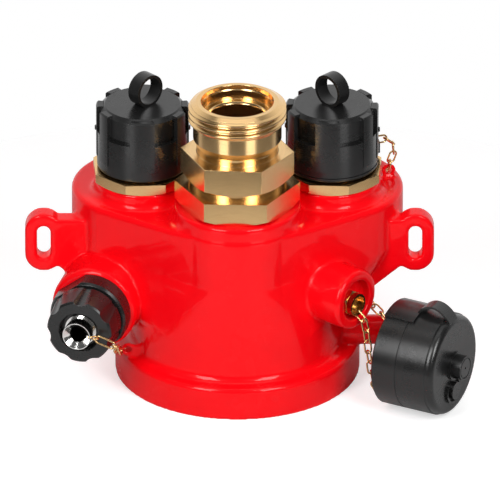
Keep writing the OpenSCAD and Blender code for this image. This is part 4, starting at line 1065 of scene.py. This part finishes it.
class CONNECTION_OT_stage(bpy.types.Operator):
    """Camera, lamps, floor and world"""
    bl_idname = "connection.stage"
    bl_label = "Stage"

    def execute(self, context):
        stage = context.scene.connection_stage
        add_camera(stage)
        add_world(stage)
        add_lamps(stage)
        add_floor(stage)
        context.scene.view_settings.view_transform = "Standard"
        return {"FINISHED"}


class CONNECTION_OT_casting(bpy.types.Operator):
    """The red casting with its rounded edges"""
    bl_idname = "connection.casting"
    bl_label = "Casting"

    def execute(self, context):
        build_casting(context.scene.connection_casting)
        return {"FINISHED"}


class CONNECTION_OT_nipples(bpy.types.Operator):
    """The brass nipples and the hose adaptor"""
    bl_idname = "connection.nipples"
    bl_label = "Nipples"

    def execute(self, context):
        half = 180 / 8
        corner = COLLAR_FLAT / math.cos(math.radians(half))
        for side, turn in (("left", half + COLLAR_TURN), ("right", half - COLLAR_TURN)):
            build_nipple(side + "_nipple", side + "_brass", 8, corner, COLLAR_HEIGHT, turn, 0.4 * MM)
        build_nipple("centre_nipple", "outlet_brass", 6, NUT_CORNER, NUT_HEIGHT, NUT_TURN, 0.5 * MM)
        build_adaptor(context.scene.connection_thread)
        return {"FINISHED"}


class CONNECTION_OT_caps(bpy.types.Operator):
    """The two screwed caps and the loose cap"""
    bl_idname = "connection.caps"
    bl_label = "Caps"

    def execute(self, context):
        dress_node("left_cap", "left_cap_screw", "plastic", 0.35 * MM)
        dress_node("right_cap", "right_cap_screw", "plastic", 0.35 * MM)
        dress_node("loose_cap", "casting", "plastic", 0.4 * MM)
        return {"FINISHED"}


class CONNECTION_OT_test_valve(bpy.types.Operator):
    """The test valve's bonnet, wheel and plated barrel"""
    bl_idname = "connection.test_valve"
    bl_label = "Test Valve"

    def execute(self, context):
        dress_node("valve_bonnet", "casting", "plastic", 0.4 * MM)
        dress_node("hand_wheel", "wheel", "plastic", 0.6 * MM)
        dress_node("test_barrel", "casting", "nickel", 0.3 * MM)
        dress_node("barrel_eye", "casting", "wire", 0)
        paint_node("wheel_clip", "nickel")
        paint_node("valve_sleeve", "wire")
        paint_node("valve_seal", "rubber")
        return {"FINISHED"}


class CONNECTION_OT_ball_drip(bpy.types.Operator):
    """The ball drip's fitting, ball and pin"""
    bl_idname = "connection.ball_drip"
    bl_label = "Ball Drip"

    def execute(self, context):
        dress_node("drip_fitting", "casting", "wire", 0.3 * MM)
        paint_node("drip_ball", "nickel")
        paint_node("drip_pin", "nickel")
        return {"FINISHED"}


class CONNECTION_OT_inner_parts(bpy.types.Operator):
    """Flaps, pins, seals and the swivel ring"""
    bl_idname = "connection.inner_parts"
    bl_label = "Inner Parts"

    def execute(self, context):
        for side in ("left", "right", "centre"):
            paint_node(side + "_flap", "wire")
            paint_node(side + "_flap_pin", "nickel")
            paint_node(side + "_nipple_seal", "rubber")
        for node in ("adaptor_seal", "left_cap_seal", "right_cap_seal", "loose_cap_seal"):
            paint_node(node, "rubber")
        paint_node("cap_swivel", "plastic")
        paint_node("loose_cap_eye", "wire")
        return {"FINISHED"}


class CONNECTION_OT_chains(bpy.types.Operator):
    """The brass chains"""
    bl_idname = "connection.chains"
    bl_label = "Chains"

    def execute(self, context):
        chain = context.scene.connection_chain
        for node in ("wheel_chain", "drip_chain", "loose_cap_chain"):
            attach(link_chain(node, chain), "casting")
        piece = link_mesh("cap_chain_links", merged_copy("cap_chain"), "wire")
        shade_by_angle(piece.data, 60)
        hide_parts("cap_chain")
        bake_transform(piece, "casting", "right_cap_carrier", start=(0, 0, 0.156), end=(0, 0, 0.186))
        return {"FINISHED"}


class CONNECTION_PT_panel(bpy.types.Panel):
    """The steps that build the connection"""
    bl_label = "Fire Department Connection"
    bl_idname = "CONNECTION_PT_panel"
    bl_space_type = "VIEW_3D"
    bl_region_type = "UI"
    bl_category = "Connection"

    def draw(self, context):
        for operator in OPERATORS:
            self.layout.operator(operator.bl_idname)
        for name in SETTINGS:
            box = self.layout.box()
            group = getattr(context.scene, name)
            for key in group.__annotations__:
                box.prop(group, key)


SETTINGS = {
    "connection_casting": ConnectionCasting,
    "connection_thread": ConnectionThread,
    "connection_chain": ConnectionChain,
    "connection_finish": ConnectionFinish,
    "connection_stage": ConnectionStage,
}
OPERATORS = (CONNECTION_OT_stage, CONNECTION_OT_casting, CONNECTION_OT_nipples, CONNECTION_OT_caps,
             CONNECTION_OT_test_valve, CONNECTION_OT_ball_drip, CONNECTION_OT_inner_parts,
             CONNECTION_OT_chains)


def register():
    """Registers the classes and the settings."""
    for name, group in SETTINGS.items():
        bpy.utils.register_class(group)
        setattr(bpy.types.Scene, name, PointerProperty(type=group))
    for item in (*OPERATORS, CONNECTION_PT_panel):
        bpy.utils.register_class(item)


def unregister():
    """Takes the classes and the settings out again."""
    for item in (CONNECTION_PT_panel, *reversed(OPERATORS)):
        bpy.utils.unregister_class(item)
    for name, group in SETTINGS.items():
        delattr(bpy.types.Scene, name)
        bpy.utils.unregister_class(group)


def main():
    """Builds everything in order."""
    register()
    for operator in OPERATORS:
        area, name = operator.bl_idname.split(".")
        getattr(getattr(bpy.ops, area), name)()


if __name__ == "__main__":
    main()
